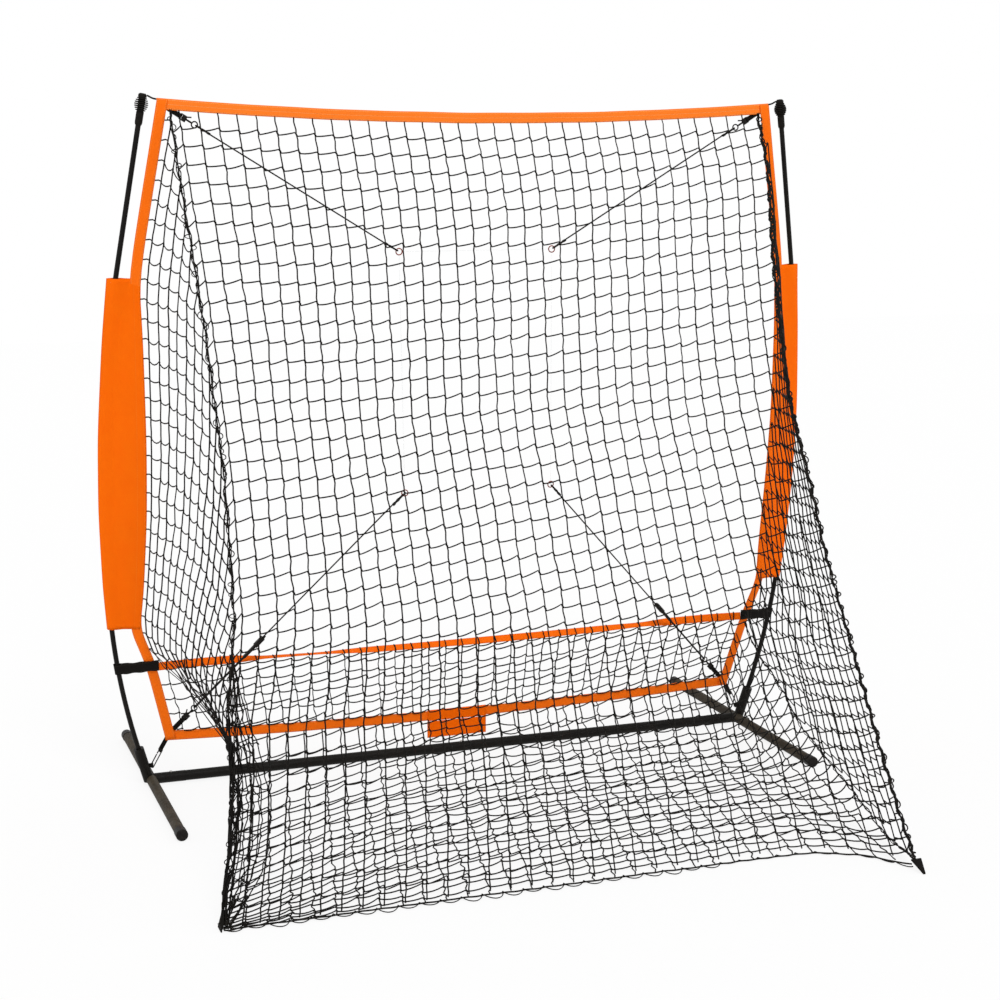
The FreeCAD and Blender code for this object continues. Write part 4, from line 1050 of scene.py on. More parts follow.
@dataclass
class Studio:
    """Camera, lights and paper.

    Distances here are in metres, turns in degrees.

    Attributes:
        place: Place of the camera.
        air: Strength of the surroundings as light; the camera sees them white.
        paper: Half the width of the floor.
        paper_drop: How far the floor lies under the object.
    """

    place: tuple[float, float, float] = (-1.47769, -4.18886, 1.46754)
    yaw: float = 19.204
    pitch: float = -9.482
    roll: float = -0.288
    lens: float = 68.85
    air: float = 0.72
    lamp: float = 1.5
    lamp_size: float = 28.0
    lamp_turn: tuple[float, float, float] = (38.0, -14.0, 12.0)
    paper: float = 14.0
    paper_drop: float = 0.0006

    def build(self) -> None:
        """Makes the camera, the lights and the floor."""
        scene = bpy.context.scene
        scene.view_settings.view_transform = "Standard"
        data = bpy.data.cameras.new("camera")
        data.sensor_width = 36.0
        data.lens = self.lens
        data.clip_end = 60.0
        camera = bpy.data.objects.new("camera", data)
        yaw, pitch, roll = (math.radians(v) for v in (self.yaw, self.pitch, self.roll))
        turn = (Matrix.Rotation(-yaw, 4, "Z")
                @ Matrix.Rotation(math.pi / 2 + pitch, 4, "X")
                @ Matrix.Rotation(roll, 4, "Z"))
        camera.matrix_world = Matrix.Translation(self.place) @ turn
        scene.collection.objects.link(camera)
        scene.camera = camera
        self.light()
        self.floor()

    def light(self) -> None:
        """Even white surroundings and one soft lamp from above."""
        world = bpy.data.worlds.new("studio_air")
        bpy.context.scene.world = world
        world.use_nodes = True
        tree = world.node_tree
        back = tree.nodes["Background"]
        back.inputs["Color"].default_value = (1.0, 1.0, 1.0, 1.0)
        rays = add(tree, "ShaderNodeLightPath")
        seen = add(tree, "ShaderNodeMath", {
            0: rays.outputs["Is Camera Ray"], 1: rays.outputs["Is Glossy Ray"]},
            operation="MAXIMUM")
        seen = add(tree, "ShaderNodeMath", {
            0: seen.outputs[0], 1: rays.outputs["Is Transmission Ray"]},
            operation="MAXIMUM")
        level = add(tree, "ShaderNodeMapRange", {
            "Value": seen.outputs[0], "To Min": self.air, "To Max": 1.0})
        tree.links.new(level.outputs["Result"], back.inputs["Strength"])
        sun = bpy.data.lights.new("soft_lamp", "SUN")
        sun.energy = self.lamp
        sun.angle = math.radians(self.lamp_size)
        lamp = bpy.data.objects.new("soft_lamp", sun)
        lamp.rotation_euler = tuple(math.radians(turn) for turn in self.lamp_turn)
        bpy.context.scene.collection.objects.link(lamp)

    def floor(self) -> None:
        """A wide sheet of paper under the object."""
        bm = bmesh.new()
        bmesh.ops.create_grid(bm, x_segments=2, y_segments=2, size=self.paper)
        bmesh.ops.translate(bm, verts=bm.verts, vec=(0, 0, -self.paper_drop))
        from_bmesh("studio_floor", bm, PAPER, smooth=False)


@dataclass
class HardParts:
    """Tubes, caps, buttons, hooks and rings, which keep their CAD shapes."""

    finishes: dict[Finish, tuple[str, ...]] = field(default_factory=lambda: {
        COAT_BAR: ("base_bar_left", "base_bar_right", "bar_stubs", "pole_socket_left",
                   "pole_socket_right", "tie_lugs"),
        COAT_FOOT: ("foot_tube_left", "foot_tube_right"),
        NYLON: ("foot_caps", "socket_plugs", "socket_bushes", "cord_hooks",
                "cord_adjuster_left", "cord_adjuster_right", "tie_toggles"),
        RUBBER: ("tip_cap_left", "tip_cap_right"),
        POLE: ("lower_pole_left", "lower_pole_right", "upper_pole_left",
               "upper_pole_right"),
        SPRING: ("button_left", "button_middle", "button_right", "button_springs"),
        FERRULE: ("pole_ferrules",),
        COPPER: ("target_rings",),
    })

    def dress(self) -> None:
        """Gives each node its finish."""
        for finish, names in self.finishes.items():
            for name in names:
                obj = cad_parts[name]
                obj.data.materials.clear()
                obj.data.materials.append(finish.build())
                LOG.info("%s: %s", name, finish.name)


@dataclass
class WebbingFrame:
    """Orange bands round the mouth, the sleeves, the straps and the flap.

    Attributes:
        half: Half the width of the mouth's frame.
        top: Height of the top band's upper edge at the corners.
        bottom: The same of the bottom band.
        top_sag: How far the middle of the top band hangs.
        top_pull: How far the net draws it back.
        bottom_sag: How far the middle of the bottom band hangs.
        stations: A side band read down its inner edge in the leaning mouth:
            distance from the middle, distance in front, distance up, and the
            direction from its inner edge to its outer one.
        pole_at: Distance of the pole from the middle at the sleeve's stations.
        sleeve_flare: How much wider its channel is at each station.
        sleeve_flat: Width and length of a sleeve's cloth in metres.
        skin_gap: Distance of the sleeve's cloth from the band's faces.
        strap_end: Distance of the cross strap's end from the middle.
        strap_back: How far its end lies behind the mouth.
        strap_up: Its distance up the mouth at its end.
        strap_pole: Distance of the pole from the middle beside the strap.
        strap_rise: How far the pole leans out for each millimetre up.
        strap_round: Half the width of the strap's turn round the pole.
        cross_turns: Shares of the cross strap's run and its turn there in
            degrees.
        flap_flat: Width and height of the flap's cloth in metres.
        loop_flat: Width and length of the flap loop's cloth in metres.
        loop_skin: Distance of the loop's cloth from the band's faces.
        hinge: Place of the flap's hinge, to the front and up.
    """

    half: float = 762.0
    top: float = 1654.0
    bottom: float = 136.5
    width: float = 25.0
    thick: float = 2.0
    top_sag: float = 26.0
    top_pull: float = 15.0
    bottom_sag: float = 17.0
    stations: tuple[tuple[float, float, float, float, float], ...] = (
        (737.0, -2.4, 1662.4, 1.0, 0.0), (808.5, -10.0, 1261.4, 0.9822, 0.1877),
        (807.0, -38.0, 1108.3, 0.8914, 0.4532), (806.0, -57.0, 886.6, 0.8527, 0.5224),
        (807.0, -52.0, 705.3, 0.8770, 0.4804), (813.0, -30.0, 523.9, 0.9397, 0.3421),
        (821.0, -16.0, 415.1, 0.9719, 0.2353), (784.0, -15.0, 318.4, 0.9945, 0.1045),
        (737.0, -1.5, 115.9, 1.0, 0.0))
    pole_at: tuple[float, ...] = (860.8, 881.7, 899.0, 901.9, 895.4, 887.1)
    sleeve_radius: float = 11.0
    sleeve_flare: tuple[float, ...] = (11.0, 5.0, 1.5, 0.5, 0.5, 0.5)
    sleeve_flat: tuple[float, float] = (0.23, 0.85)
    skin_gap: float = 0.7
    strap_end: float = 779.0
    strap_back: float = 20.5
    strap_up: float = 316.36
    strap_pole: float = 875.2
    strap_rise: float = 0.158
    strap_round: float = 7.6
    cross_width: float = 20.0
    cross_sag: float = 13.0
    cross_turns: tuple[tuple[float, float], ...] = (
        (0.0, 5.0), (0.08, 20.0), (0.18, 93.0), (0.25, 99.0), (0.36, 66.0),
        (0.57, 55.0), (0.73, 60.0), (0.82, 78.0), (0.90, 20.0), (1.0, 5.0))
    flap_left: float = -87.0
    flap_right: float = 72.0
    flap_drop: float = 43.0
    flap_flat: tuple[float, float] = (0.159, 0.043)
    loop_flat: tuple[float, float] = (0.159, 0.062)
    loop_skin: float = 1.3
    hinge: tuple[float, float] = (-10.39, 90.92)

    def build(self) -> None:
        """Makes every piece of the webbing frame."""
        self.level_band("webbing_top_band", "top_band", self.top, self.top_sag,
                        self.top_pull, BAND_TOP)
        self.level_band("webbing_bottom_band", "bottom_band", self.bottom,
                        self.bottom_sag, 0.0, BAND_SIDE)
        for side, word in ((1, "right"), (-1, "left")):
            self.side_band(side, word)
            self.sleeve(side, word)
            self.pole_strap(side, word)
        self.cross_strap()
        self.flap_loop()
        self.flap()

    def level_band(self, name: str, node: str, height: float, sag: float, pull: float,
                   finish: Finish) -> None:
        """Makes a band across the mouth.

        Args:
            name: Name of the piece.
            node: CAD node that it stands for.
            height: Height of its upper edge at its ends.
            sag: How far its middle hangs.
            pull: How far its middle is drawn back.
            finish: Its surface.
        """
        chance = random.Random(len(name))
        waves = [chance.uniform(0, PHASE_RANGE) for _ in range(3)]

        def place(s: float, t: float) -> Vector:
            """Point of the band at a share across and a share along."""
            share = 2 * t - 1
            bow = 1 - share * share
            ripple = (math.sin(t * 31 + waves[0])
                      + math.sin(t * 57 + waves[1])) * 0.5 * bow
            lean = math.sin(t * 19 + waves[2]) * 0.8 * bow * (s - 0.5)
            up = along(height - sag * bow) - self.width * s
            return mouth_point(self.half * share, self.thick / 2 - pull * bow + lean,
                               up + ripple * 0.5)

        obj = sheet_piece(name, 6, 160, place, (self.width * MM, 2 * self.half * MM),
                          self.thick * MM, finish)
        settle(obj, Body.FRAME, Slot.ORANGE, node)

    def edge_chain(self, offset: float = 0.0, back: float = 0.0,
                   last: int = 9) -> Chain:
        """Line down the right side band, from its top corner.

        Args:
            offset: Distance out from the inner edge.
            back: Distance towards the bag.
            last: Number of stations that it runs through.

        Returns:
            The chain.
        """
        points = []
        for x, w, u, out, front in self.stations[:last]:
            points.append(mouth_point(x + out * offset, w + front * offset - back, u))
        return Chain(points, smooth=5)

    def side_band(self, side: int, word: str) -> None:
        """Makes the band of one side, drawn back by the bag.

        Args:
            side: 1 for the right, -1 for the left.
            word: Its word in names.
        """
        inner = self.edge_chain()
        outer = self.edge_chain(self.width)

        def place(s: float, t: float) -> Vector:
            """Point of the band at a share across and a share down."""
            point = inner.at(t).lerp(outer.at(t), s)
            return Vector((point.x * side, point.y, point.z))

        obj = sheet_piece("webbing_side_" + word, 5, 170, place,
                          (self.width * MM, inner.length), self.thick * MM, BAND_SIDE)
        settle(obj, Body.FRAME, Slot.ORANGE, "side_band_" + word)

    def sleeve_line(self, index: int) -> list[Vector]:
        """Cross section of a sleeve at a station, from web to web.

        Args:
            index: Number of the station, from the top one of the sleeve.

        Returns:
            Points of the cloth's middle in metres, all as far apart in share.
        """
        x, w, u, out, front = self.stations[index + 1]
        reach = math.hypot(self.pole_at[index] - x, w)
        skin = self.thick / 2 + self.skin_gap
        edge = reach + self.sleeve_radius - 0.5 + self.sleeve_flare[index]
        half = [(0.0, skin), (reach - 28.0, skin), (reach - 9.0, 7.8), (reach, 9.1),
                (reach + 7.5, 7.4)]
        loop = [(a, -b) for a, b in half] + [(edge, 0.0)] + half[::-1]
        outline = Chain([Vector((a, b, 0.0)) for a, b in loop], smooth=2)
        flat = [outline.at(step / 56) for step in range(57)]
        return [mouth_point(x + out * p.x - front * p.y, w + front * p.x + out * p.y,
                            u) for p in flat]

    def sleeve(self, side: int, word: str) -> None:
        """Makes the cloth channel round a pole.

        Args:
            side: 1 for the right, -1 for the left.
            word: Its word in names.
        """
        lines = [self.sleeve_line(index) for index in range(len(self.pole_at))]
        count = len(lines[0])
        rails = [Chain([line[i] for line in lines], smooth=5) for i in range(count)]
        chance = random.Random(7 + side)
        folds = [(chance.uniform(14, 60), chance.uniform(0, PHASE_RANGE))
                 for _ in range(5)]

        def place(s: float, t: float) -> Vector:
            """Point of the cloth at a share across and a share down."""
            spot = s * (count - 1)
            index = min(int(spot), count - 2)
            point = rails[index].at(t).lerp(rails[index + 1].at(t), spot - index)
            slack = math.sin(math.pi * min(1.0, max(0.0, t))) ** 0.5
            web = (max(0.0, 1 - abs(spot - 10) / 9)
                   + max(0.0, 1 - abs(spot - count + 11) / 9))
            ripple = sum(math.sin(t * rate + start + s * 3) for rate, start in folds)
            point.y -= (1.6 + ripple * 0.6) * MM * slack * web * (1 if s < 0.5 else -1)
            return Vector((point.x * side, point.y, point.z))

        length = rails[0].length
        width = sum((b - a).length for a, b in zip(lines[2], lines[2][1:]))
        obj = sheet_piece("cloth_sleeve_" + word, count - 1, 90, place, (width, length),
                          1.0 * MM, SLEEVE_CLOTH)
        settle(obj, Body.FRAME, Slot.ORANGE, "sleeve_" + word)

    def pole_strap(self, side: int, word: str) -> None:
        """Makes the black strap that ties the frame to a pole.

        Args:
            side: 1 for the right, -1 for the left.
            word: Its word in names.
        """
        pole, rise = self.strap_pole, self.strap_rise
        radius = self.strap_round
        route = [(self.strap_end, -self.strap_back - 0.9),
                 (820.0, -self.strap_back + 4.6), (862.0, -radius - 0.6)]
        for step in range(13):
            angle = -math.pi * 0.62 + math.pi * 1.28 * step / 12
            route.append((pole + radius * math.cos(angle), radius * math.sin(angle)))
        route += [(862.0, -3.2), (820.0, -self.strap_back + 7.4),
                  (800.0, -self.strap_back + 4.9)]
        line = Chain([Vector((x, w, 0)) for x, w in route], smooth=2)

        def place(s: float, t: float) -> Vector:
            """Point of the strap at a share across and a share along."""
            point = line.at(t)
            lift = (s - 0.5) * (24.0 + 3.5 * math.sin(point.x * 0.09) ** 2)
            near = min(1.0, max(0.0, (point.x - 840) / 25))
            tilt = 3.5 - 9.0 * (point.x - self.strap_end) / 100.0
            return mouth_point((point.x + lift * rise * near) * side, point.y,
                               self.strap_up + lift + tilt)

        obj = sheet_piece("strap_pole_" + word, 6, 90, place,
                          (27 * MM, line.length * MM), 1.2 * MM, BLACK_WEB)
        settle(obj, Body.FRAME, Slot.BLACK_WEB, "pole_strap_" + word)

    def cross_turn(self, share: float) -> float:
        """Turn of the cross strap about its own run.

        Args:
            share: Share of its run.

        Returns:
            The turn in radians.
        """
        for (first, low), (last, high) in zip(self.cross_turns, self.cross_turns[1:]):
            if share <= last:
                part = eased((share - first) / (last - first))
                return math.radians(low + (high - low) * part)
        return math.radians(self.cross_turns[-1][1])

    def cross_line(self, share: float) -> tuple[float, float, float]:
        """Middle of the cross strap in the mouth's frame.

        Args:
            share: Share of its run.

        Returns:
            Distance to the right, in front and up.
        """
        x = (self.strap_end - 0.3) * (2.0 * share - 1.0)
        near = abs(x) / (self.strap_end - 0.3)
        up = self.strap_up - self.cross_sag * (1.0 - near * near)
        return x, -self.strap_back * near ** 8, up

    def cross_strap(self) -> None:
        """Makes the strap across the mouth, which turns about its own run."""

        def place(s: float, t: float) -> Vector:
            """Point of the strap at a share across and a share along."""
            x, w, u = self.cross_line(t)
            turn = self.cross_turn(t)
            reach = (0.5 - s) * self.cross_width
            return mouth_point(x, w + math.sin(turn) * reach,
                               u + math.cos(turn) * reach)

        obj = sheet_piece("strap_cross", 4, 200, place,
                          (self.cross_width * MM, 2 * self.strap_end * MM), 1.5 * MM,
                          BAND_STRAP)
        settle(obj, Body.FRAME, Slot.ORANGE, "cross_strap")

    def flap_loop(self) -> None:
        """Makes the cloth loop round the bottom band."""
        middle = along(self.bottom - self.bottom_sag) - self.width / 2
        reach = self.width / 2 + self.loop_skin
        front, back = self.thick + self.loop_skin, -self.loop_skin
        corners = [(back, reach), (back, -reach), (front, -reach), (front, reach),
                   (back, reach)]
        line = Chain([Vector((0, w, u)) for w, u in corners], smooth=1)

        def place(s: float, t: float) -> Vector:
            """Point of the loop at a share along the band and a share round it."""
            point = line.at(t)
            x = self.flap_left + (self.flap_right - self.flap_left) * s
            return mouth_point(x, point.y, middle + point.z)

        obj = sheet_piece("cloth_flap_loop", 24, 32, place, self.loop_flat, 1.2 * MM,
                          FLAP_CLOTH)
        settle(obj, Body.FRAME, Slot.ORANGE, "flap_loop")

    def flap(self) -> None:
        """Makes the hanging flap with its bead and a slight curl."""
        y, z = self.hinge

        def place(s: float, t: float) -> Vector:
            """Point of the flap at a share along it and a share down."""
            x = self.flap_left + (self.flap_right - self.flap_left) * s
            drop = self.flap_drop * t
            curl = math.sin(s * 9.0) * 0.7 * t + math.sin(s * 23.0 + 1.0) * 0.25 * t
            return row_point(x, y + curl, z - drop)

        obj = sheet_piece("cloth_flap", 40, 12, place, self.flap_flat, 2.0 * MM,
                          FLAP_CLOTH)
        settle(obj, Body.FLAP, Slot.ORANGE, "flap")


@dataclass
class NetBag:
    """Knotted netting behind the mouth, on the ground and at its foot.

    Places are to the right of the base bar's middle, in front of it and up.

    Attributes:
        bands: Webbing that the nets hang from.
        left_seam: Seam of the rear net and the left side net, from the top.
        right_seam: Seam of the rear net and the right side net, from the top.
        floor_seam: Seam of the right side net and the floor net.
        hem: Edge of the rear net and the floor net on the ground.
        rear_half: Half the width of the rear net at its top.
        rear_meshes: Meshes of the rear net across and down, and so for the
            floor net, the lip net and the gathered net.
        right_rows: Rows of the right side net, and the row at its foot corner.
        left_rows: Rows of the left side net.
        left_end: Share of the left seam that its last row reaches.
        clear_at: Place of an adjuster's way past the lip net, out and up.
        clear_push: How far the lip net is pushed forward there.
    """

    bands: WebbingFrame
    left_seam: tuple[tuple[float, float, float], ...] = (
        (-733, -203.5, 1639), (-729, -304, 1444), (-720, -376, 1295),
        (-712, -468, 1105), (-711, -525, 987), (-708, -587, 857), (-713, -645, 730),
        (-721, -725, 561), (-747, -787, 443), (-762, -825, 364), (-759, -862, 290),
        (-777, -915, 177), (-797, -956, 93), (-817, -992, 6))
    right_seam: tuple[tuple[float, float, float], ...] = (
        (733, -203.5, 1639), (724, -282, 1490), (691, -375, 1298), (678, -431, 1180),
        (667, -487, 1064), (660, -542, 950), (662, -575, 882), (670, -629, 770),
        (671, -693, 638), (676, -724, 572), (691, -797, 421), (672, -905, 320),
        (662, -1010, 197), (657, -1090, 101), (656, -1158, 26))
    floor_seam: tuple[tuple[float, float, float], ...] = (
        (781, -78, 300), (785, -150, 230), (767, -300, 193), (746, -472, 119),
        (723, -668, 83), (708, -791, 60), (693, -914, 36), (684, -987, 16),
        (656, -1158, 22))
    hem: tuple[tuple[float, float, float], ...] = (
        (-817, -992, 6), (-500, -994, 5), (-155, -993, 5), (200, -994, 5),
        (484, -993, 4), (592, -1050, 4), (634, -1121, 6), (654, -1157, 14))
    rear_half: float = 733.0
    rear_meshes: tuple[int, int] = (34, 43)
    floor_meshes: tuple[int, int] = (33, 23)
    lip_meshes: tuple[int, int] = (34, 4)
    gather_meshes: tuple[int, int] = (13, 13)
    right_rows: tuple[int, int] = (44, 30)
    left_rows: int = 29
    left_end: float = 0.815
    clear_at: tuple[float, float] = (655.0, 235.0)
    clear_push: float = 9.0
    left: Chain = field(init=False)
    right: Chain = field(init=False)
    foot: Chain = field(init=False)
    ground: Chain = field(init=False)
    side_left_foot: list[Vector] = field(init=False)

    def build(self) -> None:
        """Makes every net and its cords."""
        top = self.top_chain()
        self.left = Chain([top.at(0)] + [row_point(*p) for p in self.left_seam[1:]],
                          smooth=3)
        self.right = Chain([top.at(1)] + [row_point(*p) for p in self.right_seam[1:]],
                           smooth=3)
        self.foot = Chain([row_point(*p) for p in self.hem], smooth=3)
        self.ground = Chain([row_point(*p) for p in self.floor_seam], smooth=3)
        self.rear()
        self.side_right()
        self.side_left()
        self.floor_net()
        self.lip()
        self.gather()
        self.seams()
        self.hem_cord()

    def top_chain(self) -> Chain:
        """Line along which the rear net is sewn into the top band.

        Returns:
            The line from left to right.
        """
        bands = self.bands
        points = []
        for step in range(33):
            share = step / 16 - 1
            bow = 1 - share * share
            points.append(mouth_point(
                self.rear_half * share, 1.0 - bands.top_pull * bow,
                along(bands.top - bands.top_sag * bow) - 24.0))
        return Chain(points)

    def grid(self, patch: Patch, columns: int, rows: int, seed: int,
             shift: Callable[[Vector, float, float], Vector] | None = None,
             jitter: float = 1.6,
             warp: Callable[[float, float], tuple[float, float]] | None = None,
             ) -> list[list[Vector | None]]:
        """Spreads knots evenly over a patch.

        Args:
            patch: Surface that they lie on.
            columns: Meshes across.
            rows: Meshes down.
            seed: Start of the random order.
            shift: Moves a point by its shares across and down.
            jitter: Random play of a knot in millimetres.
            warp: Moves the shares before the point is read.

        Returns:
            Rows of points.
        """
        chance = random.Random(seed)
        made: list[list[Vector | None]] = []
        for row in range(rows + 1):
            line: list[Vector | None] = []
            for column in range(columns + 1):
                s, t = column / columns, row / rows
                point = patch.at(*(warp(s, t) if warp else (s, t)))
                if shift:
                    point = shift(point, s, t)
                edge = min(1.0, 12 * min(s, 1 - s), 12 * min(t, 1 - t))
                play = Vector([chance.uniform(-1, 1) for _ in range(3)])
                line.append(point + play * jitter * MM * edge)
            made.append(line)
        return made

    def rear(self) -> None:
        """Rear net from the top band to the hem."""
        patch = Patch(self.left, self.right, self.top_chain(), self.foot)
        columns, rows = self.rear_meshes

        def warp(s: float, t: float) -> tuple[float, float]:
            """Lets the meshes sag and squeezes them into the gathered corner."""
            pull = eased((t - 0.1) / 0.35)
            squeeze = 0.5 * eased((t - 0.66) / 0.2) * math.exp(-s / 0.11)
            across = (s * columns - 0.55 * (1 - s)) / columns if s > 0 else 0.0
            drop = math.sin(math.pi * t) ** 1.3 * (0.046 * (1 - s) + 0.02 * s)
            if s == 0.0 and 0 < t < 1:
                drop += 0.3 / rows
            drawn = across - 0.14 * pull * across * (1 - across)
            return drawn * (1 - squeeze), t + drop

        knots = self.grid(patch, columns, rows, 3, warp=warp)
        work = TwineWork("netting_rear")
        Lattice(knots, seed=5, step=5.6 * MM, sag=1.6 * MM).draw(work, first=1, last=1)
        self.finish_net(work, ("rear_net", "rear_net_corner"), columns, rows, "hung",
                        ["webbing_top_band"])

    def finish_net(self, work: TwineWork, nodes: tuple[str, ...], columns: float,
                   rows: float, held: str, rests: list[str]) -> None:
        """Builds the twine into a piece that rides on the frame in place of its CAD
        nodes.

        Args:
            work: Its strands and knots.
            nodes: CAD nodes that it stands for.
            columns: Not used.
            rows: Not used.
            held: Not used.
            rests: Names of what it hangs from or lies on.
        """
        obj = settle(work.build(), Body.FRAME, Slot.NETTING, *nodes)
        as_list(rests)

    def side_grid(self, work: TwineWork, seam: Callable[[int], Vector],
                  edge: Callable[[int], Vector], rows: int, seed: int,
                  fold: Callable[[int], Vector],
                  inset: float = 0.0) -> list[list[Vector | None]]:
        """Knots of a side net, counted from the edge that its strands run along.

        Args:
            work: Piece that takes the strands from the last knots to the far edge.
            seam: Point of the edge that they are counted from, at a row.
            edge: Point of the far edge at a row.
            rows: Number of rows.
            seed: Start of the random order.
            fold: How far the middle of a row is off its straight line.
            inset: Meshes between the first edge and the first strand.

        Returns:
            Rows of points.
        """
        chance = random.Random(seed)
        made: list[list[Vector | None]] = []
        most = 0
        for row in range(rows + 1):
            start, end = seam(row), edge(row)
            width = (end - start).length
            count = max(0, int(width / (MESH_PITCH * MM) - inset))
            line: list[Vector | None] = []
            for column in range(count + 1):
                share = min(1.0, (column + inset) * MESH_PITCH * MM / max(width, 1e-6))
                play = Vector([chance.uniform(-1, 1) for _ in range(3)]) * 2.0 * MM
                bend = fold(row) * 4 * share * (1 - share)
                line.append(start.lerp(end, share) + bend
                            + (play if column else Vector()))
            if row == 0:
                made.append([None] * len(line))
                continue
            hang = Vector((0, 0, 0.002))
            work.strand([line[-1], line[-1].lerp(end, 0.5) - hang, end])
            if inset:
                work.strand([start, start.lerp(line[0], 0.6) + hang, line[0]])
            made.append(line)
            most = max(most, len(line))
        for line in made:
            line += [None] * (most - len(line))
        return made

    def side_right(self) -> None:
        """Right side net, from the band and the floor seam to the rear seam."""
        edge = self.bands.edge_chain(back=3.0, last=8)
        rows, turn = self.right_rows

        def front(row: int) -> Vector:
            """Point of the band, and below it of the floor seam, at a row."""
            if row <= turn:
                return edge.at(row / turn)
            return self.ground.at((row - turn) / (rows - turn))

        def fold(row: int) -> Vector:
            """How far the middle of a row hangs off its straight line."""
            low = max(0.0, (row - 20) / (rows - 20))
            return Vector((0.012, 0.0, -0.05 * low * (1.4 - low)))

        def seam(row: int) -> Vector:
            """Point of the rear seam at a row."""
            more = 2.1 * eased(row / 7) * (1 - eased((row - 32) / 12))
            return self.right.at((row + more) / rows)

        work = TwineWork("netting_side_right")
        knots = self.side_grid(work, seam, front, rows, 11, fold)
        Lattice(knots, seed=12, step=7.5 * MM, sag=1.0 * MM).draw(work, first=1)
        cells = sum(len([k for k in line if k]) for line in knots)
        self.finish_net(work, ("side_net_right",), cells / rows, rows, "hung",
                        ["webbing_side_right"])

    def side_left(self) -> None:
        """Left side net, whose lower edge is drawn up to the rear seam."""
        edge = self.bands.edge_chain(back=3.0, last=8)
        rows = self.left_rows

        def front(row: int) -> Vector:
            """Point of the band at a row."""
            return flipped(edge.at(0.965 * row / rows))

        def seam(row: int) -> Vector:
            """Point of the rear seam at a row."""
            more = (1.1 + 0.4 * row / rows) * eased(row / 4)
            return self.left.at(self.left_end * min(1.0, (row + more) / rows))

        def fold(row: int) -> Vector:
            """How far the middle of a row stands off its straight line."""
            low = row / rows
            return Vector((0.004 + 0.020 * low, 0.0, 0.014 + 0.018 * low))

        work = TwineWork("netting_side_left")
        knots = self.side_grid(work, front, seam, rows, 21, fold, inset=0.55)
        Lattice(knots, seed=22, step=2.5 * MM, sag=6.5 * MM, sway=1.2 * MM).draw(
            work, first=1)
        cells = sum(len([k for k in line if k]) for line in knots)
        self.side_left_foot = [front(rows)] + [k for k in knots[-1] if k]
        self.finish_net(work, ("side_net_left",), cells / rows, rows, "gathered",
                        ["webbing_side_left"])

    def floor_net(self) -> None:
        """Net from the bottom band down to the ground and back to the hem."""
        bands = self.bands
        front = []
        for step in range(21):
            x = -600 + (737 + 600) * step / 20
            bow = 1 - (x / bands.half) ** 2
            up = along(bands.bottom - bands.bottom_sag * bow) - bands.width
            front.append(mouth_point(x, -0.8, up + 2))
        front += [mouth_point(748, -6, 170), mouth_point(768, -12, 250),
                  row_point(*self.floor_seam[0])]
        top = Chain(front, smooth=1)
        left = Chain([front[0], row_point(-628, -150, 34), row_point(-666, -330, 7),
                      row_point(-817, -992, 6)], smooth=4)

        def shift(point: Vector, s: float, t: float) -> Vector:
            """Lays a knot on the ground, or behind the flap over its swing."""
            edge = min(1.0, max(0.0, (s - 0.82) / 0.18)) ** 2
            drop = (1 - t) ** 1.6 if t > 0 else 1.0
            factor = drop + (1 - drop) * edge
            behind = front[0].y - point.y
            window = 1 - eased((abs(point.x + 0.0075) - 0.12) / 0.09)
            tent = (0.0966 - 0.42 * behind) * window
            wave = 0.5 + 0.5 * math.sin(s * 61) * math.sin(t * 43)
            low = 3.2 * MM + 2.5 * MM * wave
            return Vector((point.x, point.y, max(low, tent, point.z * factor)))

        def warp(s: float, t: float) -> tuple[float, float]:
            """Draws the rows closer together at the left of the hem."""
            return s, 1 - (1 - t) ** (1 + 1.5 * (1 - s) ** 7)

        patch = Patch(left, self.ground, top, self.foot)
        columns, rows = self.floor_meshes
        knots = self.grid(patch, columns, rows, 31, shift, 4.0, warp)
        for line in knots:
            for point in line:
                point.z = max(point.z, GROUND_CLEAR * MM)
        work = TwineWork("netting_floor")
        Lattice(knots, seed=32, step=4.0 * MM, sag=5.5 * MM, sway=4.5 * MM).draw(
            work, first=1, last=1)
        work.strands = [[Vector((p.x, p.y, max(p.z, 1.6 * MM))) for p in line]
                        for line in work.strands]
        self.finish_net(work, ("floor_net", "apron_net"), columns, rows, "laid",
                        ["webbing_bottom_band"])

    def lip(self) -> None:
        """Net between the cross strap and the bottom band, hung in loops.

        It is pushed forward where an adjuster can slide down its cord.
        """
        bands = self.bands
        columns, rows = self.lip_meshes
        clear_x, clear_u = self.clear_at
        chance = random.Random(41)
        knots: list[list[Vector | None]] = []
        for row in range(rows + 1):
            line: list[Vector | None] = []
            for column in range(columns + 1):
                share = column / columns
                x, w, high = bands.cross_line(0.012 + 0.976 * share)
                bow = 1 - (x / bands.half) ** 2
                low = along(bands.bottom - bands.bottom_sag * bow) + 3.5
                t = row / rows
                u = (high - 9) * (1 - t) + low * t
                reach = 1 - 0.052 * (high - u) / (high - low)
                play = chance.uniform(-2, 2) * (0 < row < rows)
                spread = math.hypot(abs(x * reach) - clear_x, u - clear_u) / 75.0
                pushed = self.clear_push * math.exp(-spread * spread) * (0 < row < rows)
                line.append(mouth_point(x * reach + play * 1.2,
                                        -2.0 + w * (1 - t) * 0.7 + pushed, u + play))
            knots.append(line)
        work = TwineWork("netting_lip")
        Lattice(knots, seed=42, sag=3.6 * MM, sway=2.6 * MM).draw(work)
        (high_x, high_w, high_u), (low_x, low_w, low_u) = (
            station[:3] for station in bands.stations[-2:])
        for row in range(1, rows + 1):
            share = ((high_u - 14 - (high_u - low_u - 44) * row / rows - low_u)
                     / (high_u - low_u))
            for side, knot in ((-1, knots[row][0]), (1, knots[row][-1])):
                end = mouth_point((low_x + (high_x - low_x) * share) * side,
                                  low_w + (high_w - low_w) * share - 1.0,
                                  low_u + (high_u - low_u) * share)
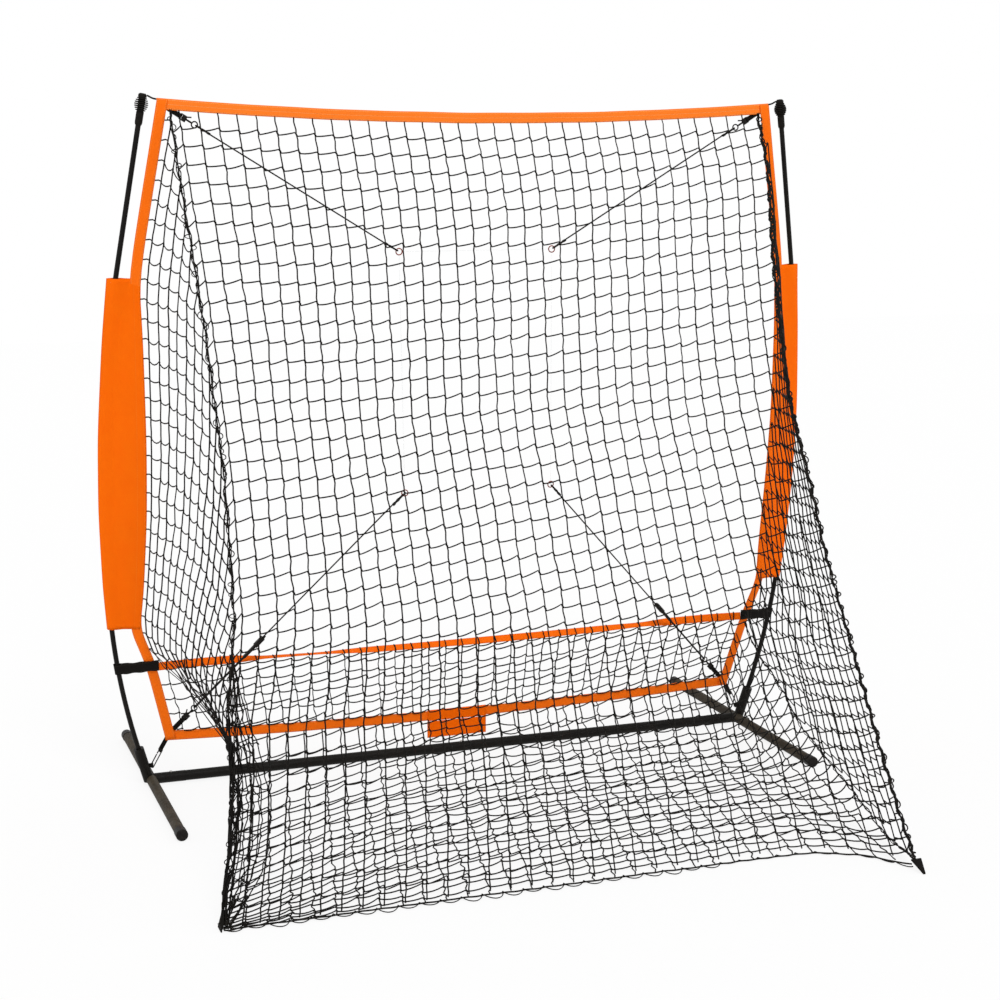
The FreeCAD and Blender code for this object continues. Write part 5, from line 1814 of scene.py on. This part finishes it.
                middle = knot.lerp(end, 0.5) - Vector((0, 0, chance.uniform(1, 4) * MM))
                work.strand([knot, middle, end])
        for column in range(columns + 1):
            x, w, u = bands.cross_line(0.012 + 0.976 * column / columns)
            turn = bands.cross_turn(0.012 + 0.976 * column / columns)
            points = []
            for step in range(9):
                angle = math.radians(-90 + 360 * step / 8)
                a, b = 11.5 * math.sin(angle), 2.4 * math.cos(angle)
                points.append(mouth_point(x + chance.uniform(-0.8, 0.8),
                                          w + math.sin(turn) * a + math.cos(turn) * b,
                                          u + math.cos(turn) * a - math.sin(turn) * b))
            work.strand(points)
        self.finish_net(work, ("lip_net",), columns, rows, "hung", ["strap_cross"])

    def gather(self) -> None:
        """Bundle of slack twine at the gathered corner."""
        chance = random.Random(51)
        work = TwineWork("netting_gather", radius=1.3 * MM)
        core = Chain([self.left.at(0.79 + 0.21 * step / 12) for step in range(13)])
        feet = self.side_left_foot
        for index in range(9):
            angle = chance.uniform(0, 2 * math.pi)
            reach = chance.uniform(0.25, 1.0)
            phase = chance.uniform(0, PHASE_RANGE)
            points = []
            if index < len(feet):
                start = feet[index]
                points.append(start)
                for share in (0.2, 0.4, 0.6, 0.8):
                    stray = Vector([chance.uniform(-7, 7) for _ in range(3)]) * MM
                    points.append(start.lerp(core.at(0.02), share) + stray)
            for step in range(25):
                t = step / 24
                wide = (19.0 - 11.0 * t) * reach * MM * min(1.0, 0.45 + t * 3)
                swing = angle + 1.6 * math.sin(t * 9 + phase)
                point = core.at(0.04 + t * 0.95)
                stray = Vector((math.cos(swing) + 0.5, math.sin(swing), 0)) * wide
                point = point + stray
                point.z = max(point.z, GROUND_CLEAR * MM)
                points.append(point)
            work.strand(points)
        for layer in range(2):
            self.folded(work, 52 + layer, 54.0 + 28.0 * layer, -16.0 + 26.0 * layer)
        self.finish_net(work, ("net_gather",), *self.gather_meshes, "gathered",
                        ["netting_side_left"])

    def folded(self, work: TwineWork, seed: int, wide: float, front: float) -> None:
        """Adds a squeezed fold of net beside the bundle.

        Args:
            work: Piece that takes the fold.
            seed: Start of the random order.
            wide: Width of the fold at its middle in millimetres.
            front: How far its free edge stands in front, in millimetres.
        """
        chance = random.Random(seed)
        knots: list[list[Vector | None]] = []
        rows, columns = 12, 4
        for row in range(rows + 1):
            t = 0.70 + 0.295 * row / rows
            start = self.left.at(t)
            swell = math.sin(math.pi * (0.03 + 0.93 * row / rows) ** 1.4) ** 0.8
            line: list[Vector | None] = []
            for column in range(columns + 1):
                share = column / columns
                drop = chance.uniform(-9, 9) - 14 * share * swell
                point = start + Vector((wide * share * swell, front * share * swell,
                                        drop)) * MM
                point += Vector([chance.uniform(-3.5, 3.5) * MM for _ in range(3)])
                point.z = max(point.z, 3.5 * MM)
                line.append(point)
            knots.append(line)
        Lattice(knots, seed=seed, step=5.0 * MM, sag=3.0 * MM, sway=5.0 * MM).draw(work)

    def seams(self) -> None:
        """Doubled cords laced along the seams, with small loops."""
        for name, chain, seed in (("seam_left", self.left, 61),
                                  ("seam_right", self.right, 62),
                                  ("seam_floor", self.ground, 63)):
            chance = random.Random(seed)
            thick = name == "seam_right"
            work = TwineWork(name, radius=(1.6 if thick else 1.2) * MM)
            count = int(chain.length / (9 * MM))
            for sign in (1, -1, 0.4) if thick else (1, -1):
                points = []
                rate, swell = (1.1, 4.4) if thick else (0.62 + 0.1 * sign, 4.0)
                for step in range(count + 1):
                    t = step / count
                    wave = math.sin(step * rate + sign) * (1 if sign > 0 else -1)
                    side = Vector((wave * swell + chance.uniform(-1.4, 1.4),
                                   chance.uniform(-1.5, 1.5),
                                   chance.uniform(-1, 1))) * MM
                    point = chain.at(t) + side
                    point.z = max(point.z, GROUND_CLEAR * MM)
                    points.append(point)
                work.strand(points)
            loops = 0 if name == "seam_floor" else int(chain.length / (30 * MM))
            for index in range(loops):
                t = (index + chance.uniform(0.1, 0.9)) / loops
                out = chance.uniform(4, 11) * MM
                out = out * (1 if thick else chance.choice((-1, -1, 1)))
                drop = chance.uniform(9, 20) * MM / chain.length
                points = []
                for step in range(7):
                    angle = math.pi * step / 6
                    spot = chain.at(min(0.995, t + drop * (1 - math.cos(angle)) / 2))
                    points.append(spot + Vector((out * math.sin(angle), 0.0, 0.0)))
                    points[-1].z = max(points[-1].z, GROUND_CLEAR * MM)
                work.strand(points)
            settle(work.build(), Body.FRAME, Slot.NETTING)

    def hem_cord(self) -> None:
        """Cord along the hem on the ground, and the loops that hold it."""
        route = [(-801.0, -993.9, 2.0), (-155.0, -994.7, 2.0), (485.0, -994.4, 2.0),
                 (594.0, -1051.9, 2.0), (635.0, -1121.9, 4.0), (650.0, -1157.0, 11.0)]
        line = Chain([row_point(x, y, z) for x, y, z in route], smooth=3)
        count = 68
        chance = random.Random(70)
        points = [line.at(step / count)
                  + Vector((0, (-1) ** step * 2.2 + chance.uniform(-1, 1),
                            chance.uniform(0, 1.2))) * MM * (0 < step < count)
                  for step in range(count + 1)]
        cord = cord_curve("cord_hem", points, 1.8 * MM, CORD)
        settle(cord, Body.FRAME, Slot.CORD, "hem_cord")
        tuple(points[0])
        chance = random.Random(71)
        work = TwineWork("netting_hem_loops", radius=1.3 * MM)
        count = 34
        for index in range(count):
            first = self.foot.at(index / count)
            last = self.foot.at((index + 1) / count)
            low, high = (15, 27) if index < 24 else (5, 8)
            depth = chance.uniform(low, high) * MM
            lean = chance.uniform(-0.2, 0.2)
            points = []
            for step in range(11):
                t = step / 10
                bow = max(0.0, 4 * t * (1 - t)) ** 0.75
                point = first.lerp(last, t + lean * bow * 0.3)
                point += Vector((0, -depth * bow, 0))
                point.z = (5.5 - 2.5 * bow) * MM
                points.append(point)
            work.strand(points)
        settle(work.build(), Body.FRAME, Slot.NETTING)


@dataclass
class TabShape:
    """A soft tab whose CAD solid is rounded, bent and given a weave."""

    name: str
    node: str
    slot: Slot
    finish: Finish
    round_mm: float = 0.5
    bend: Callable[[Vector], Vector] | None = None

    def build(self) -> bpy.types.Object:
        """Copies the node's mesh, merges it, rounds it and maps its weave.

        Returns:
            The object.
        """
        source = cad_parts[self.node]
        bm = bmesh.new()
        bm.from_mesh(source.data)
        bmesh.ops.remove_doubles(bm, verts=bm.verts, dist=0.00002)
        flat = [edge for edge in bm.edges if len(edge.link_faces) == 2
                and edge.calc_face_angle(0.0) < 0.02]
        bmesh.ops.dissolve_edges(bm, edges=flat, use_verts=True)
        sharp = [edge for edge in bm.edges if len(edge.link_faces) == 2
                 and edge.calc_face_angle(0.0) > 0.6]
        bmesh.ops.bevel(bm, geom=sharp, offset=self.round_mm * MM, offset_type="OFFSET",
                        segments=2, profile=0.5, affect="EDGES", clamp_overlap=True,
                        material=-1)
        layer = bm.loops.layers.uv.new("UVMap")
        for face in bm.faces:
            normal = face.normal
            run = Vector((0, 0, 1)) if abs(normal.z) < 0.8 else Vector((0, 1, 0))
            side = run.cross(normal).normalized()
            for loop in face.loops:
                loop[layer].uv = (loop.vert.co.dot(side), loop.vert.co.dot(run))
        if self.bend:
            for vert in bm.verts:
                vert.co = self.bend(vert.co)
        obj = from_bmesh(self.name, bm, self.finish)
        return settle(obj, Body.FRAME, self.slot, self.node)


@dataclass
class CordSet:
    """Tension cords from the frame's corners to the target rings.

    A cord is drawn in its own frame: along it from its corner, and across
    it, where its two strands lie one over the other.

    Attributes:
        corners: Word, corner, ring and length in metres of a cord and its twin.
        radius: Half the thickness of a cord.
        gap: Half the distance between its two strands.
        near: Distance from the corner to the eye at the hook.
        ring: Distance from the ring's middle to the eye round it.
        dead_end: Length of the strand that is bound back.
        whip_steps: Distances of the whippings from an eye.
        stop_strand: Distance from the corner to the stop knot of a lower cord.
        line_radius: Half the thickness of the clear line.
    """

    corners: tuple[tuple[str, tuple[float, float, float],
                         tuple[float, float, float], float], ...] = (
        ("top", (745.0, -196.1, 1637.0), (194.0, -175.0, 1302.0), 0.6408),
        ("bottom", (745.0, -9.9, 134.0), (189.0, -180.0, 721.0), 1.0305))
    radius: float = 1.75
    gap: float = 3.55
    near: float = 87.0
    ring: float = 7.7
    dead_end: float = 34.0
    whip_length: float = 8.0
    whip_steps: tuple[float, float] = (12.0, 26.0)
    stop_strand: float = 329.7
    line_radius: float = 0.5

    def build(self) -> None:
        """Makes the cords, their whippings and the line between the rings."""
        whips = TwineWork("cord_whipping_threads", finish=THREAD, radius=0.5 * MM)
        for word, corner, ring, length in self.corners:
            for side, hand in ((1, "right"), (-1, "left")):
                start = row_point(corner[0] * side, corner[1], corner[2])
                end = row_point(ring[0] * side, ring[1], ring[2])
                self.cord(word, hand, start, end, length, whips)
        settle(whips.build(), Body.FRAME, Slot.CORD, "cord_whippings")
        self.tie_lines()
        TabShape("webbing_corner_tabs", "corner_tabs", Slot.BLACK_WEB, BLACK_TAB,
                 0.3).build()
        TabShape("webbing_ground_tabs", "ground_tabs", Slot.BLACK_WEB, BLACK_TAB, 0.9,
                 self.lifted).build()

    def lifted(self, point: Vector) -> Vector:
        """Lifts the sewn edge of the right ground tab to the seam that holds it.

        Args:
            point: Point of either ground tab in metres.

        Returns:
            Where it goes.
        """
        base = row_point(0, -1162.3, 0).y
        share = min(1.0, max(0.0, 1 - (base - point.y) / (34 * MM)))
        if point.x < 0:
            return point - Vector((0.011 - point.z * 0.22, 0.004, 0.0))
        fold = 0.35 * abs(point.x - 0.657)
        return Vector((point.x, point.y, point.z + (26 * MM - fold) * share))

    def cord(self, word: str, hand: str, start: Vector, end: Vector, length: float,
             whips: TwineWork) -> None:
        """Makes one cord with an eye at each end.

        Args:
            word: "top" or "bottom".
            hand: "right" or "left".
            start: Corner of the frame.
            end: Middle of the ring.
            length: Not used.
            whips: Piece that takes the whippings.
        """
        run = (end - start).normalized()
        across = (Vector((0, 1, 0)) - run * run.y).normalized()
        third = run.cross(across)
        far = (end - start).length / MM - self.ring
        gap = self.gap

        def at(a: float, b: float, c: float = 0.0) -> Vector:
            """Point at a distance along the cord and two distances across it."""
            return start + (run * a + across * b + third * c) * MM

        first = self.near + self.dead_end if word == "top" else self.stop_strand
        route = [at(first, -gap), at(self.near + 2, -gap), at(self.near - gap, -gap),
                 at(self.near - gap, gap), at(self.near + 2, gap),
                 at((self.near + far) / 2, gap), at(far - 2, gap), at(far + gap, gap),
                 at(far + gap, -gap), at(far - 2, -gap), at(far - self.dead_end, -gap)]
        name = "cord_" + word + "_" + hand
        cord = cord_curve(name, route, self.radius * MM, CORD)
        settle(cord, Body.FRAME, Slot.CORD, "tension_cord_" + word + "_" + hand)
        tuple(route[0])
        places = [far - step - self.whip_length for step in self.whip_steps]
        if word == "top":
            places += [self.near + step for step in self.whip_steps]
        for place in places:
            self.whip(whips, at, place)
        if word == "bottom":
            knot = TwineWork("cord_stop_knot_" + hand, finish=CORD)
            knot.knot(at(first, -gap), run, across, 4.4 * MM, 3.3 * MM)
            knot.knot(at(first - 2.5, -gap - 0.6), run + across, third, 3.6 * MM,
                      2.6 * MM)
            knot.strand([at(first + 2, -gap - 1), at(first + 5, -gap - 2.5)])
            settle(knot.build(), Body.FRAME, Slot.CORD)

    def whip(self, whips: TwineWork, at: Callable[..., Vector], place: float) -> None:
        """Winds thread round the two strands.

        Args:
            whips: Piece that takes the thread.
            at: Point of the cord's own frame.
            place: Where the winding starts along the cord.
        """
        turns = 8
        points = []
        for step in range(turns * 12 + 1):
            angle = 2 * math.pi * step / 12
            b, c = math.cos(angle), math.sin(angle)
            wide = self.gap * max(-1.0, min(1.0, b * 2.2))
            run = place + 0.4 + (self.whip_length - 0.8) * step / (turns * 12)
            points.append(at(run, wide + b * 2.2, c * 2.25))
        whips.strand(points)

    def tie_lines(self) -> None:
        """Makes the clear line from ring to ring."""
        top, bottom = (Vector(ring) for _, _, ring, _ in self.corners)
        down = (bottom - top).normalized()
        inside = self.ring - 1.3 - self.line_radius
        gap = self.ring + 1.6
        runs = []
        for ring in (top, bottom):
            x = ring.x - inside - 3.6
            runs.append((Vector((-x, ring.y, ring.z)), Vector((x, ring.y, ring.z))))
        side = (top + down * gap, bottom - down * gap)
        runs += [side, (flipped(side[0]), flipped(side[1]))]
        for index, (first, last) in enumerate(runs):
            points = [row_point(*first.lerp(last, step / 4)) for step in range(5)]
            line = cord_curve("line_clear_%d" % (index + 1), points,
                              self.line_radius * MM, LINE, 1)
            nodes = ("ring_tie_line",) if index == 0 else ()
            settle(line, Body.FRAME, Slot.LINE, *nodes)
            tuple(points[0])


@dataclass
class SmallCords:
    """Cords at the pole tips and the loops at the frame's foot corners.

    Attributes:
        tip_route: Route of the right tip cord in the leaning mouth.
        tie_top: Upper turn of the corner loop, out and up in the mouth.
        tie_foot: Its lower turn.
        pin: Half the thickness of what the loop turns round.
        cord: Half the thickness of the loop's cord.
        tip: Half the thickness of the tip cord.
        loop_length: Length of the loop's cord in metres.
    """

    tip_route: tuple[tuple[float, float, float], ...] = (
        (782.8, 0.0, 1671.7), (771.7, 0.0, 1665.7), (762.6, 1.0, 1663.5))
    tie_top: tuple[float, float] = (775.0, 88.0)
    tie_foot: tuple[float, float] = (795.8, 49.0)
    pin: float = 2.4
    cord: float = 1.5
    tip: float = 2.0
    loop_length: float = 0.1143

    def build(self) -> None:
        """Makes the tip cords, the corner loops and the corner tabs."""
        work = TwineWork("cord_tips", finish=CORD, radius=self.tip * MM)
        for side in (1, -1):
            chain = Chain([mouth_point(x * side, w, u) for x, w, u in self.tip_route],
                          smooth=4)
            work.strand([chain.at(step / 10) for step in range(11)])
        settle(work.build(), Body.FRAME, Slot.CORD, "tip_cords")
        for side, word in ((1, "right"), (-1, "left")):
            self.loop(side, word)
        TabShape("webbing_tie_tabs", "tie_tabs", Slot.BLACK_WEB, BLACK_TAB, 0.3).build()

    def loop(self, side: int, word: str) -> None:
        """Makes the loop of cord from the toggle to the socket's pin.

        Args:
            side: 1 for the right, -1 for the left.
            word: Its word in names.
        """
        depth = -self.cord + 0.3
        top, foot = Vector(self.tie_top), Vector(self.tie_foot)
        run = (foot - top).normalized()
        reach = self.pin + 0.1 + self.cord
        out = Vector((-run.y, run.x)) * reach
        flat = [top + out + run * 12, foot + out, foot + out + run * reach,
                foot - out + run * reach, foot - out, top - out,
                top - out - run * reach, top + out - run * reach, top + out,
                top + out + run * 10]
        points = [mouth_point(p.x * side, depth, p.y) for p in flat]
        obj = cord_curve("cord_loop_" + word, points, self.cord * MM, CORD)
        settle(obj, Body.FRAME, Slot.CORD, "tie_loop_" + word)
        tuple(points[0])


def main() -> None:
    """Builds the whole scene."""
    logging.basicConfig(level=logging.INFO, format="%(message)s")
    Studio().build()
    bands = WebbingFrame()
    CordSet().build()
    SmallCords().build()
    HardParts().dress()
    bands.build()
    NetBag(bands).build()


if __name__ == "__main__":
    main()
